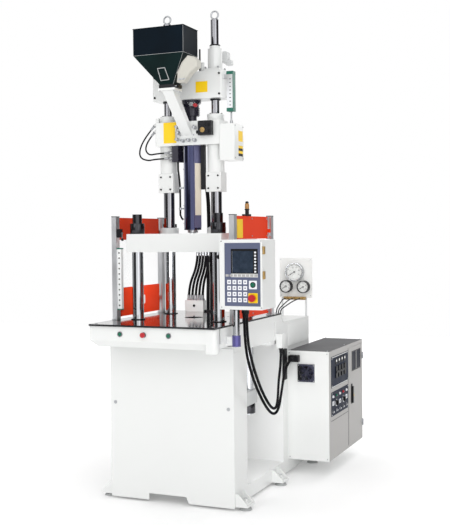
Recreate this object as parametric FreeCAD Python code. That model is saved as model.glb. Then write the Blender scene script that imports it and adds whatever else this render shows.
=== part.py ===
"""Vertical injection moulding machine: clamp below, injection unit above, tank and cabinet behind.

Working frame while modelling: X = 0 on the clamp axis (+X to the operator's right), Y = 0 at the
front panel (+Y to the back), Z = 0 on the floor, millimetres.  finish() moves every solid so that
the origin is the bottom centre of the machine's box.
"""
import FreeCAD, Part
import math
import os

V = FreeCAD.Vector
X_AXIS, Y_AXIS, Z_AXIS = V(1, 0, 0), V(0, 1, 0), V(0, 0, 1)

# ---------------------------------------------------------------- driving dimensions (mm)
# base
base_w = 764.0            # width over the side plates
bay_depth = 783.0         # front panel to bulkhead
body_depth = 1290.0       # front panel to back of the rear cover
floor_z = 98.0            # top of the bay floor
floor_t = 8.0
rail_bottom = 20.0        # underside of the bottom rails
rail_w = 60.0
column_depth = 190.0      # front columns, front to back
column_w = 60.0
sheet = 4.0               # panels
steel_wall = 6.0          # columns and bulkhead
post_depth = 82.0         # rear posts, front to back
notch_w = 254.0           # fork notch in the front panel
notch_h = 50.0
rear_height = 960.0       # top of the rear cover
# table and lower platen
table_top = 1020.0
plate_t = 10.0            # black table plate
bolster_t = 35.0
platen_t = 113.0          # lower platen
platen_front = 20.0
platen_back = 650.0
table_w = 760.0
table_front = -237.0
table_back = 775.0
console_drop = 115.0      # console height below the table plate
console_chamfer = 35.0
# clamp
clamp_y = 316.0           # clamp and injection axis, back from the front panel
bar_r = 32.5
bar_dx = 253.5            # half spacing of the tie bars
bar_dy = 210.5
bolt_dx, bolt_dy, bolt_r = 175.0, 105.0, 8.5      # mould bolts
daylight = 388.0          # table top to the underside of the upper platen
upper_w = 594.0
upper_d = 540.0
upper_t = 103.0
clamp_stroke = 200.0
nut_r = 42.0
nut_h = 60.0
stub_h = 52.0             # threaded end above the upper nut
link_t = 80.0             # lower crosshead
ram_r = 85.0
cylinder_r = 125.0
# injection unit
cyl_dx = 152.0            # half spacing of the injection columns
rod_r = 32.0
tube_r = 49.0
collar_w, collar_d = 96.0, 88.0
collar_z, collar_h = 1750.0, 112.0
carriage_w = 410.0
carriage_d = 132.0
carriage_z, carriage_h = 2020.0, 137.0
head_h = 38.0             # cylinder heads on the carriage plate
cross_w, cross_z, cross_h = 440.0, 2283.0, 155.0
upper_tube_r, upper_cyl_h = 42.0, 130.0
upper_cap_r, upper_cap_h = 31.0, 16.0
inject_stroke = 100.0
carriage_stroke = 60.0
inject_rod_r = 24.0
rod_top = 2735.0
eye_r, eye_wire_r = 22.0, 5.0
screw_r = 17.5
barrel_r = 35.0
guard_r, guard_wall = 50.0, 1.5
# hopper
hopper_x0, hopper_x1 = -215.0, 95.0
hopper_y0, hopper_y1 = 12.0, 200.0
hopper_top, hopper_knee, hopper_neck = 2655.0, 2508.0, 2346.0
neck_x, neck_y, neck_half = -38.0, 112.0, 42.0
chute_half = 33.0
hopper_sheet = 2.5
gate_h, flange_h = 20.0, 12.0
chute_end_z = 2105.0      # middle of the chute's mouth at the carriage plate
# guards
guard_height = 592.0
guard_x = 365.0           # guard plane
guard_post_w, guard_post_d = 30.0, 40.0
guard_y0, guard_y1 = 30.0, 640.0
band_low_h, band_high_h = 166.0, 128.0
band_gap = 15.0           # table top to the lower band
# control box on its pole
pole_x, pole_y, pole_r = 431.0, -72.0, 19.0
box_x0, box_w, box_d = 379.0, 240.0, 192.0
box_y0, box_z0, box_h = -170.0, 1112.0, 364.0
# electrical cabinet
cab_w, cab_d, cab_h = 268.0, 768.0, 678.0
cab_y0, cab_z0 = 870.0, 100.0
cab_sheet = 3.0
cab_split = 450.0         # front edge to the door seam
fan_size = 110.0
fan_bore = 46.0
fan_x, fan_z = 505.0, 642.0
# gauge panel
gauge_x0, gauge_w, gauge_h = 190.0, 226.0, 263.0
gauge_y, gauge_z0 = 1266.0, 1080.0
# clearances
run_fit = 0.06            # radial, shafts and rams in their bores
free_gap = 0.4            # between moving curved faces that only pass each other
travel_gap = 2.0          # between flat parts that move past each other

half = base_w / 2
platen_top = table_top - plate_t - bolster_t
platen_bottom = platen_top - platen_t
upper_bottom = table_top + daylight
upper_top = upper_bottom + upper_t
carriage_top = carriage_z + carriage_h
cross_top = cross_z + cross_h
console_bottom = table_top - plate_t - console_drop
bolts = [(sx * bolt_dx, clamp_y + sy * bolt_dy) for sx in (-1, 1) for sy in (-1, 1)]
bars = [(sx * bar_dx, clamp_y + sy * bar_dy) for sx in (-1, 1) for sy in (-1, 1)]
nodes = {}


# ---------------------------------------------------------------- small shape helpers
def box(x0, x1, y0, y1, z0, z1):
    return Part.makeBox(x1 - x0, y1 - y0, z1 - z0, V(x0, y0, z0))


def cyl(r, x, y, z0, z1):
    return Part.makeCylinder(r, z1 - z0, V(x, y, z0), Z_AXIS)


def rod(r, start, direction, length):
    return Part.makeCylinder(r, length, start, direction)


def ring(outer, inner, x, y, z0, z1):
    return cyl(outer, x, y, z0, z1).cut(cyl(inner, x, y, z0, z1))


def join(*shapes):
    first, rest = shapes[0], list(shapes[1:])
    return first.fuse(rest).removeSplitter() if rest else first


def prism(points, direction):
    return Part.Face(Part.makePolygon(points + points[:1])).extrude(direction)


def round_edges(shape, radius, along):
    """Fillets the straight edges that run along one axis."""
    edges = []
    for edge in shape.Edges:
        if isinstance(edge.Curve, Part.Line) and abs(abs(edge.Curve.Direction.dot(along)) - 1) < 1e-6:
            edges.append(edge)
    return shape.makeFillet(radius, edges)


def hexagon(across, x, y, z0, z1):
    corner = across / math.sqrt(3)
    pts = [V(x + corner * math.cos(math.pi / 3 * k), y + corner * math.sin(math.pi / 3 * k), z0)
           for k in range(6)]
    return prism(pts, V(0, 0, z1 - z0))


def put(name, *shapes):
    """Adds solids to a node; several stay separate solids in one file."""
    for shape in shapes:
        if not shape.Solids:
            raise ValueError("empty piece in " + name)
        nodes.setdefault(name, []).extend(shape.Solids)


def mirror_x(shape):
    return shape.mirror(V(0, 0, 0), X_AXIS)


def cord_tube(points, radius, label):
    """A tube of straight runs and tangent arcs through the route; prints its tightest radius."""
    pts = [V(*p) for p in points]
    edges, start, radii = [], pts[0], []
    for before, corner, after in zip(pts, pts[1:], pts[2:]):
        back, ahead = before - corner, after - corner
        run = min(back.Length, ahead.Length)
        back.normalize()
        ahead.normalize()
        turn = math.pi - back.getAngle(ahead)
        reach = 0.45 * run
        radii.append(reach / math.tan(turn / 2))
        a, b = corner + back * reach, corner + ahead * reach
        middle = back + ahead
        middle.normalize()
        inner = radii[-1] * (1 / math.cos(turn / 2) - 1)
        edges.append(Part.LineSegment(start, a).toShape())
        edges.append(Part.Arc(a, corner + middle * inner, b).toShape())
        start = b
    edges.append(Part.LineSegment(start, pts[-1]).toShape())
    path = Part.Wire(edges)
    first = pts[1] - pts[0]
    section = Part.Wire(Part.makeCircle(radius, pts[0], first))
    tube = path.makePipeShell([section], True, False)
    length = path.Length
    print("%-20s length %6.0f mm, tightest radius %5.1f mm (%.1f diameters), volume ratio %.4f" % (
        label, length, min(radii), min(radii) / (2 * radius),
        tube.Volume / (math.pi * radius ** 2 * length)))
    return tube


# ---------------------------------------------------------------- base
def base_frame():
    rail = box(half - rail_w, half, sheet, body_depth, rail_bottom, floor_z - floor_t)
    front = channel(half, sheet, column_depth, platen_bottom)
    rear = channel(half, bay_depth, bay_depth + post_depth, rear_height - steel_wall)
    bulkhead = box(-half + column_w, half - column_w, bay_depth, bay_depth + steel_wall, floor_z, platen_top)
    beam = box(-half, half, platen_back + travel_gap, bay_depth, platen_bottom, platen_top)
    hollow = box(-half + 12, half - 12, platen_back + 14, bay_depth - 8, platen_bottom + 12, platen_top - 12)
    beam = beam.cut(hollow.cut(box(-20, 20, 0, body_depth, 0, table_top)))
    shelf = box(-half + 14, half - 14, platen_back - 60, bay_depth, platen_bottom - 24, platen_bottom)
    cap_y0, cap_y1 = bay_depth + steel_wall, bay_depth + post_depth
    cap = box(-half, half, cap_y0, cap_y1, rear_height - steel_wall, rear_height)
    put("base_frame", box(-half, half, sheet, body_depth, floor_z - floor_t, floor_z), rail, mirror_x(rail))
    put("base_frame", front, mirror_x(front), rear, mirror_x(rear))
    put("base_frame", bulkhead, beam, shelf, cap)


def channel(x_out, y0, y1, z1):
    """A folded C-section column, open towards the clamp axis."""
    outer = box(x_out - column_w, x_out, y0, y1, floor_z, z1)
    inner = box(x_out - column_w - 1, x_out - steel_wall, y0 + steel_wall, y1 - steel_wall,
                floor_z - 1, z1 + 1)
    return outer.cut(inner)


def front_panel():
    left, right = -notch_w / 2 - 15, notch_w / 2 - 15
    notch = prism([V(left, -1, 0), V(left, -1, notch_h), V(right - 22, -1, notch_h), V(right, -1, 0)],
                  V(0, sheet + 2, 0))
    panel = box(-half, half, 0, sheet, 13, console_bottom)
    lock_holes = [rod(7, V(s * (half - 32), -1, 555), Y_AXIS, sheet + 2) for s in (-1, 1)]
    put("front_panel", panel.cut([notch] + lock_holes))
    locks = []
    for s in (-1, 1):
        head = rod(10, V(s * (half - 32), -3, 555), Y_AXIS, 3)
        slot = box(s * (half - 32) - 8, s * (half - 32) + 8, -4, -1.5, 554, 556)
        locks.append(join(head.cut(slot), rod(7, V(s * (half - 32), 0, 555), Y_AXIS, sheet)))
    put("front_panel", *locks)


def side_panel():
    put("base_frame", box(-half, -half + sheet, column_depth, bay_depth, floor_z, platen_bottom))


def feet():
    """Gusseted foot brackets with levelling pads, three a side."""
    plate_z0, plate_z1, reach, width = 22.0, 34.0, 72.0, 100.0
    stations = (10.0, 570.0, body_depth - width - 12)
    feet_solids, pads, nuts = [], [], []
    for y0 in stations:
        hole = cyl(11, half + 40, y0 + width / 2, 0, 60)
        plate = box(half, half + reach, y0, y0 + width, plate_z0, plate_z1)
        wall = [V(half, 0, plate_z1), V(half, 0, floor_z - 6), V(half + 14, 0, floor_z - 6),
                V(half + reach, 0, plate_z1)]
        ribs = [prism([p + V(0, y, 0) for p in wall], V(0, 10, 0)) for y in (y0, y0 + width - 10)]
        bracket = join(plate, *ribs).cut(hole)
        pad = Part.makeCone(36, 30, 12, V(half + 40, y0 + width / 2, 0))
        pad = join(pad, cyl(10, half + 40, y0 + width / 2, 12, 62))
        low = hexagon(30, half + 40, y0 + width / 2, 12.5, plate_z0).cut(
            cyl(10, half + 40, y0 + width / 2, 0, 60))
        high = hexagon(30, half + 40, y0 + width / 2, plate_z1, plate_z1 + 14).cut(
            cyl(10, half + 40, y0 + width / 2, 0, 60))
        feet_solids += [bracket, mirror_x(bracket)]
        pads += [pad, mirror_x(pad)]
        nuts += [low, high, mirror_x(low), mirror_x(high)]
    put("base_frame", *feet_solids)
    put("levelling_feet", *pads)
    put("levelling_feet", *nuts)


def rear_body():
    """Oil tank, pump and motor under the louvred rear cover."""
    y0, y1 = bay_depth + post_depth, body_depth
    side = box(half - sheet, half, y0, y1, floor_z, rear_height)
    for y in (y0 + 30 + 24 * k for k in range(7)):
        side = side.cut(box(half - sheet - 1, half + 1, y, y + 9, rear_height - 150, rear_height - 25))
    back = box(-half + sheet, half - sheet, y1 - sheet, y1, floor_z, rear_height)
    back = back.cut(rod(32, V(-130, y1 - sheet - 1, 420), Y_AXIS, sheet + 2))
    top = box(-half + sheet, half - sheet, y0, y1 - sheet, rear_height - sheet, rear_height)
    put("rear_cover", side, mirror_x(side), back, top)
    reach = half - 52
    tank = box(-reach, reach, y0 + 20, y1 - 40, floor_z, 470)
    put("tank_and_pump", tank.cut(box(-reach + 4, reach - 4, y0 + 24, y1 - 44, floor_z + 6, 466)).cut(
        cyl(50, 250, y0 + 200, 400, 500)))
    motor_y = (y0 + y1) / 2 - 10
    motor = rod(105, V(-250, motor_y, 610), X_AXIS, 300)
    motor = join(motor, rod(112, V(-262, motor_y, 610), X_AXIS, 20),
                 rod(22, V(50, motor_y, 610), X_AXIS, 40),
                 box(-190, 0, motor_y - 90, motor_y + 90, 470, 520))
    put("tank_and_pump", motor)
    pump = join(rod(70, V(90, motor_y, 610), X_AXIS, 120),
                box(90, 150, motor_y - 60, motor_y + 60, 470, 560))
    put("tank_and_pump", pump)
    cap = join(cyl(46, 250, y0 + 200, 470, 486), cyl(50 - run_fit, 250, y0 + 200, 466, 470))
    put("tank_and_pump", cap)
    ring_z = rod(32, V(-130, y1 - sheet, 420), Y_AXIS, sheet)
    put("rear_cover", ring_z)


# ---------------------------------------------------------------- table, console and lower platen
def lower_platen():
    block = box(-half + 2, half - 2, platen_front, platen_back, platen_bottom, platen_top)
    block = round_edges(block, 8, Z_AXIS)
    bores = [cyl(bar_r + 8, x, y, platen_bottom - 1, platen_top + 1) for x, y in bars]
    put("lower_platen", block.cut(bores))
    bushes = []
    for x, y in bars:
        bushes.append(ring(bar_r + 8, bar_r + run_fit, x, y, platen_bottom, platen_top))
    put("lower_platen", *bushes)
    bolster = box(-330, 330, platen_front + 20, platen_back - 20, platen_top, platen_top + bolster_t)
    holes = [cyl(bar_r + 6, x, y, platen_top - 1, table_top) for x, y in bars]
    holes.append(cyl(50, 0, clamp_y, platen_top - 1, table_top))
    holes += [cyl(bolt_r, x, y, platen_top - 1, table_top) for x, y in bolts]
    put("lower_platen", bolster.cut(holes))


def table():
    z0 = table_top - plate_t
    w = table_w / 2
    plate = box(-w, w, table_front, table_back, z0, table_top)
    plate = round_edges(plate, 6, Z_AXIS)
    holes = [cyl(bar_r + 6, x, y, z0 - 1, table_top + 1) for x, y in bars]
    holes.append(cyl(54, 0, clamp_y, z0 - 1, table_top + 1))
    holes += [cyl(10, x, y, z0 - 1, table_top + 1) for x, y in bolts]
    put("table_plate", plate.cut(holes))
    seals = [ring(bar_r + 9, bar_r + free_gap, x, y, table_top, table_top + 4) for x, y in bars]
    put("table_plate", *seals)
    side = box(w - 10, w, 4, table_back, platen_top, z0)
    back = box(-w + 10, w - 10, table_back - 10, table_back, platen_top, z0)
    put("console", side, mirror_x(side), back)


button_x = (-188.0, -44.0, 106.0)
button_z = 969.0
console_y0 = table_front + 12


def console():
    w, z1 = table_w / 2, table_top - plate_t
    shell = box(-w, w, console_y0, 0, console_bottom, z1)
    low = [e for e in shell.Edges if abs(e.CenterOfMass.z - console_bottom) < 0.01
           and (abs(e.CenterOfMass.x) > w - 1 or e.CenterOfMass.y < console_y0 + 1)]
    shell = shell.makeChamfer(console_chamfer, low)
    inner = box(-w + sheet, w - sheet, console_y0 + sheet, 1, console_bottom + sheet, z1 + 1)
    low = [e for e in inner.Edges if abs(e.CenterOfMass.z - console_bottom - sheet) < 0.01
           and (abs(e.CenterOfMass.x) > w - sheet - 1 or e.CenterOfMass.y < console_y0 + sheet + 1)]
    inner = inner.makeChamfer(console_chamfer, low)
    bores = [rod(11.5, V(x, console_y0 - 1, button_z), Y_AXIS, sheet + 2) for x in button_x]
    front = box(w - 58, w + 1, console_y0 - 1, console_y0 + 60, console_bottom - 30, z1 + 1)
    put("console", shell.cut(inner).cut(bores).cut(front))
    corner = box(w - 58, w + 2, console_y0 - 4, console_y0 + 60, console_bottom - 18, z1)
    outer = [e for e in corner.Edges if abs(e.CenterOfMass.x - w - 2) < 0.1
             and abs(e.CenterOfMass.z - (z1 + console_bottom - 18) / 2) < 0.1]
    corner = corner.makeFillet(24, outer)
    rims = [e for e in corner.Edges if abs(e.CenterOfMass.z - console_bottom + 18) < 0.01
            and e.CenterOfMass.x > w - 50]
    put("console", corner.makeFillet(14, rims))
    bezels = []
    for x in button_x:
        bezel = join(rod(15, V(x, console_y0 - 5, button_z), Y_AXIS, 5),
                     rod(11.5, V(x, console_y0, button_z), Y_AXIS, 22))
        bezels.append(bezel.cut(rod(10 + free_gap, V(x, console_y0 - 6, button_z), Y_AXIS, 40)))
    put("console", *bezels)
    for name, x, head in (("start_button_left", button_x[0], 0), ("stop_button", button_x[1], 14),
                          ("start_button_right", button_x[2], 0)):
        stem = rod(10, V(x, console_y0 - 7, button_z), Y_AXIS, 29)
        if head:
            stem = join(stem, rod(head, V(x, console_y0 - 18, button_z), Y_AXIS, 8))
            stem = join(stem, rod(10, V(x, console_y0 - 12, button_z), Y_AXIS, 10))
        put(name, stem)


def clamp():
    """Four tie bars pulled down by a ram under the lower platen."""
    link_z1 = platen_bottom - 282
    link_z0 = link_z1 - link_t
    bar_z0, bar_z1 = link_z0 - nut_h - 10, upper_top + nut_h + stub_h
    for x, y in bars:
        stub = cyl(bar_r - 5, x, y, bar_z1 - stub_h, bar_z1)
        put("tie_bars", join(cyl(bar_r, x, y, bar_z0 + 4, bar_z1 - stub_h), stub))
    nuts = []
    for x, y in bars:
        for z in (upper_top, link_z0 - nut_h):
            nut = cyl(nut_r, x, y, z, z + nut_h).cut(cyl(bar_r, x, y, z, z + nut_h))
            nuts.append(nut)
    put("tie_bar_nuts", *nuts)
    wall_x, wall_y = upper_w / 2, upper_d / 2
    platen = box(-wall_x, wall_x, clamp_y - wall_y, clamp_y + wall_y, upper_bottom, upper_top)
    platen = round_edges(platen, 10, Z_AXIS)
    cuts = [cyl(bar_r, x, y, upper_bottom, upper_top) for x, y in bars]
    cuts.append(cyl(45, 0, clamp_y, upper_bottom, upper_top))
    cuts += [cyl(bolt_r, x, y, upper_bottom, upper_bottom + 40) for x, y in bolts]
    put("upper_platen", platen.cut(cuts))
    link = box(-bar_dx - 44, bar_dx + 44, clamp_y - bar_dy - 44, clamp_y + bar_dy + 44, link_z0, link_z1)
    link = round_edges(link, 12, Z_AXIS)
    put("clamp_link", link.cut([cyl(bar_r, x, y, link_z0, link_z1) for x, y in bars]))
    put("clamp_link", cyl(ram_r, 0, clamp_y, link_z1, platen_bottom - 40))
    body = join(cyl(cylinder_r, 0, clamp_y, link_z1 + 12, platen_bottom),
                cyl(cylinder_r + 40, 0, clamp_y, platen_bottom - 30, platen_bottom))
    put("clamp_cylinder", body.cut(cyl(ram_r + run_fit, 0, clamp_y, link_z1, platen_bottom - 25)))


# ---------------------------------------------------------------- injection unit
def columns():
    """Carriage rods on the upper platen, cylinders that slide on them."""
    rods, feet_rings, tubes, collars, heads = [], [], [], [], []
    for s in (-1, 1):
        x = s * cyl_dx
        rods.append(cyl(rod_r, x, clamp_y, upper_top, carriage_z - 70))
        feet_rings.append(ring(rod_r + 22, rod_r, x, clamp_y, upper_top, upper_top + 34))
        bore = cyl(rod_r + run_fit, x, clamp_y, collar_z - 1, carriage_z - 8)
        tubes.append(cyl(tube_r, x, clamp_y, collar_z + collar_h, carriage_z).cut(bore))
        block = box(x - collar_w / 2, x + collar_w / 2, clamp_y - collar_d / 2, clamp_y + collar_d / 2,
                    collar_z, collar_z + collar_h)
        collars.append(round_edges(block, 6, Z_AXIS).cut(bore))
        heads.append(cyl(tube_r, x, clamp_y, carriage_top, carriage_top + head_h))
    put("carriage_rods", *rods)
    put("carriage_rods", *feet_rings)
    put("injection_carriage", *tubes)
    put("injection_carriage", *collars)
    bores = [cyl(inject_rod_r, s * cyl_dx, clamp_y, carriage_top, carriage_top + head_h) for s in (-1, 1)]
    put("injection_carriage", *[h.cut(bores) for h in heads])


def carriage_plate():
    y0, y1 = clamp_y - carriage_d / 2, clamp_y + carriage_d / 2
    plate = box(-carriage_w / 2, carriage_w / 2, y0, y1, carriage_z, carriage_top)
    plate = round_edges(plate, 6, Z_AXIS)
    plate = plate.cut([cyl(barrel_r, 0, clamp_y, carriage_z, carriage_top - 30),
                       cyl(screw_r + 4, 0, clamp_y, carriage_z, carriage_top)])
    put("injection_carriage", plate)


def cross_block():
    """Crosshead that pushes the screw, with the injection cylinders on top."""
    y0, y1 = clamp_y - 66, clamp_y + 66
    block = round_edges(box(-cross_w / 2, cross_w / 2, y0, y1, cross_z, cross_top), 8, Z_AXIS)
    bores = [cyl(inject_rod_r + run_fit, s * cyl_dx, clamp_y, cross_z, cross_top) for s in (-1, 1)]
    put("injection_crosshead", block.cut(bores))
    barrels, rods, eyes = [], [], []
    for s in (-1, 1):
        x = s * cyl_dx
        cap_z = cross_top + upper_cyl_h
        body = join(cyl(upper_tube_r, x, clamp_y, cross_top + 14, cap_z),
                    cyl(upper_cap_r, x, clamp_y, cap_z, cap_z + upper_cap_h))
        collar = box(x - upper_tube_r - 5, x + upper_tube_r + 5, y0 + 10, y1 - 10, cross_top, cross_top + 14)
        body = join(body, round_edges(collar, 6, Z_AXIS))
        barrels.append(body.cut(cyl(inject_rod_r + run_fit, x, clamp_y, cross_top, cap_z + upper_cap_h)))
        rods.append(cyl(inject_rod_r, x, clamp_y, carriage_top, rod_top))
        eye_z = rod_top + eye_wire_r + eye_r
        eye = Part.makeTorus(eye_r, eye_wire_r, V(x, clamp_y, eye_z), Y_AXIS)
        eyes.append(join(eye, cyl(14, x, clamp_y, rod_top, rod_top + 6)))
    put("injection_cylinders", *barrels)
    put("injection_rods", *rods)
    put("injection_rods", *eyes)
    valve = box(160, 204, clamp_y + 56, clamp_y + 100, cross_top + 62, cross_top + 125)
    valve = round_edges(valve, 10, Y_AXIS)
    lobe = box(190, 226, clamp_y + 62, clamp_y + 94, cross_top + 44, cross_top + 76)
    lobe = round_edges(lobe, 8, Y_AXIS)
    adapter = box(146, 176, clamp_y + 24, clamp_y + 58, cross_top + 70, cross_top + 116)
    put("injection_cylinders", join(valve, lobe, adapter).cut(
        cyl(upper_tube_r, cyl_dx, clamp_y, cross_top, cross_top + upper_cyl_h)))


def drive_and_screw():
    motor_z0 = carriage_top + travel_gap + 6
    body = cyl(44, 0, clamp_y, motor_z0 + 26, cross_z - 16)
    flange = cyl(56, 0, clamp_y, cross_z - 16, cross_z)
    neck = cyl(30, 0, clamp_y, motor_z0, motor_z0 + 26)
    fins = [cyl(48, 0, clamp_y, motor_z0 + 32 + 12 * k, motor_z0 + 38 + 12 * k) for k in range(4)]
    ports = [rod(9, V(sx * 30, clamp_y - 62, cross_z - 30), Y_AXIS, 40) for sx in (-1, 1)]
    motor = join(body, flange, neck, *(fins + ports))
    shaft_bore = cyl(12 + run_fit, 0, clamp_y, motor_z0 - 1, cross_z - 20)
    put("screw_motor", motor.cut(shaft_bore))
    screw_top = motor_z0 - 1
    core = cyl(screw_r - 4, 0, clamp_y, 1560, screw_top)
    shaft = cyl(12, 0, clamp_y, screw_top, cross_z - 24)
    tip = Part.makeCone(1, screw_r - 4, 26, V(0, clamp_y, 1534))
    flights = [cyl(screw_r, 0, clamp_y, 1566 + 30 * k, 1572 + 30 * k) for k in range(17)]
    put("feed_screw", join(core, shaft, tip, *flights))


def barrel():
    z0 = 1530.0
    body = ring(barrel_r, screw_r + run_fit, 0, clamp_y, z0, carriage_top - 30)
    put("barrel", body)
    tip = Part.makeCone(9, 20, 44, V(0, clamp_y, z0 - 58))
    nozzle = join(tip, cyl(30, 0, clamp_y, z0 - 14, z0))
    put("barrel", nozzle.cut(cyl(3, 0, clamp_y, z0 - 60, z0 + 1)))
    bands = []
    for z in (1560.0, 1680.0, 1800.0):
        bands.append(ring(barrel_r + 8, barrel_r, 0, clamp_y, z, z + 80))
    put("barrel", *bands)
    shield = ring(guard_r, guard_r - guard_wall, 0, clamp_y, z0 + 2, carriage_z)
    put("barrel_guard", shield)
    strip_angle = 59.0
    plate = box(-23, 23, -guard_r - 6, -guard_r - 0.5, 1545, carriage_z)
    inlay = box(-20, 20, -guard_r - 9, -guard_r - 6, 1617, 1917)
    for piece in (plate, inlay):
        turned = piece.copy()
        turned.rotate(V(0, 0, 0), Z_AXIS, strip_angle)
        turned.translate(V(0, clamp_y, 0))
        put("barrel_guard", turned.cut(cyl(guard_r, 0, clamp_y, 1500, 2100)))
    terminals = box(66, 90, clamp_y - 26, clamp_y, 1765, carriage_z)
    put("carriage_manifold", round_edges(terminals, 3, Z_AXIS))


def carriage_fittings():
    y_face = clamp_y - carriage_d / 2
    valve = join(box(84, 166, y_face - 34, y_face, 2070, 2152),
                 rod(10, V(70, y_face - 18, 2090), X_AXIS, 14))
    put("carriage_manifold", valve)
    block = join(box(-90, -52, clamp_y - 56, clamp_y - 8, 1925, carriage_z),
                 box(-90, -52, y_face - 16, clamp_y - 56, 1925, carriage_z - 4))
    couplings = []
    for z in (1948.0, 1980.0):
        stub = rod(8, V(-112, y_face - 2, z), X_AXIS, 22)
        nut = rod(11, V(-108, y_face - 2, z), X_AXIS, 10)
        couplings.append(join(stub, nut))
    put("carriage_manifold", block)
    put("carriage_manifold", *couplings)
    jx0, jx1, jz0 = carriage_w / 2, carriage_w / 2 + 92, 1925.0
    body = box(jx0, jx1 - 6, clamp_y - 70, clamp_y + 66, jz0, jz0 + 206)
    body = round_edges(body, 3, Y_AXIS)
    put("junction_box", body.cut(box(jx0 + 3, jx1, clamp_y - 66, clamp_y + 62, jz0 + 3, jz0 + 203)))
    put("junction_box", box(jx1 - 6, jx1, clamp_y - 70, clamp_y + 66, jz0, jz0 + 206))
    tx, ty = cross_w / 2 + 20, clamp_y - 40
    case = box(tx, tx + 38, ty, ty + 36, 2206, 2426).cut(cyl(5 + free_gap, tx + 20, ty + 18, 2200, 2410))
    bracket = box(tx - 20, tx, ty + 4, ty + 32, 2390, 2414)
    put("screw_transducer", join(case, bracket))
    foot = cyl(9, tx + 20, ty + 18, jz0 + 206, jz0 + 226)
    put("junction_box", join(cyl(5, tx + 20, ty + 18, jz0 + 206, 2330), foot))


# ---------------------------------------------------------------- hopper
def frustum(top, bottom, z_top, z_bottom):
    def loop(rect, z):
        x0, x1, y0, y1 = rect
        return Part.makePolygon([V(x0, y0, z), V(x1, y0, z), V(x1, y1, z), V(x0, y1, z), V(x0, y0, z)])
    return Part.makeLoft([loop(top, z_top), loop(bottom, z_bottom)], True, True)


def shrink(rect, t):
    x0, x1, y0, y1 = rect
    return (x0 + t, x1 - t, y0 + t, y1 - t)


def lid_hinges():
    """Puts the lid's hinge pins on the hopper and returns the eyes for the lid."""
    y, z = hopper_y1 + 9.0, hopper_top + 1.5
    eyes = []
    for x in (hopper_x0 + 60, hopper_x1 - 80):
        leaf = box(x, x + 12, hopper_y1, y, z - 26, z)
        put("hopper", join(rod(5, V(x, y, z), X_AXIS, 12), rod(2.5, V(x + 12, y, z), X_AXIS, 22), leaf).cut(
            box(x - 1, x + 13, hopper_y1 - 4, hopper_y1 + 3.5, z - 2, z + 6)))
        arm = box(x + 12.5, x + 32.5, hopper_y1 + 1, y, z - 1.5, z + 1.5)
        eye = join(rod(5, V(x + 12.5, y, z), X_AXIS, 20), arm)
        eyes.append(eye.cut(rod(2.5 + run_fit, V(x, y, z), X_AXIS, 60)))
    return eyes


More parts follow.
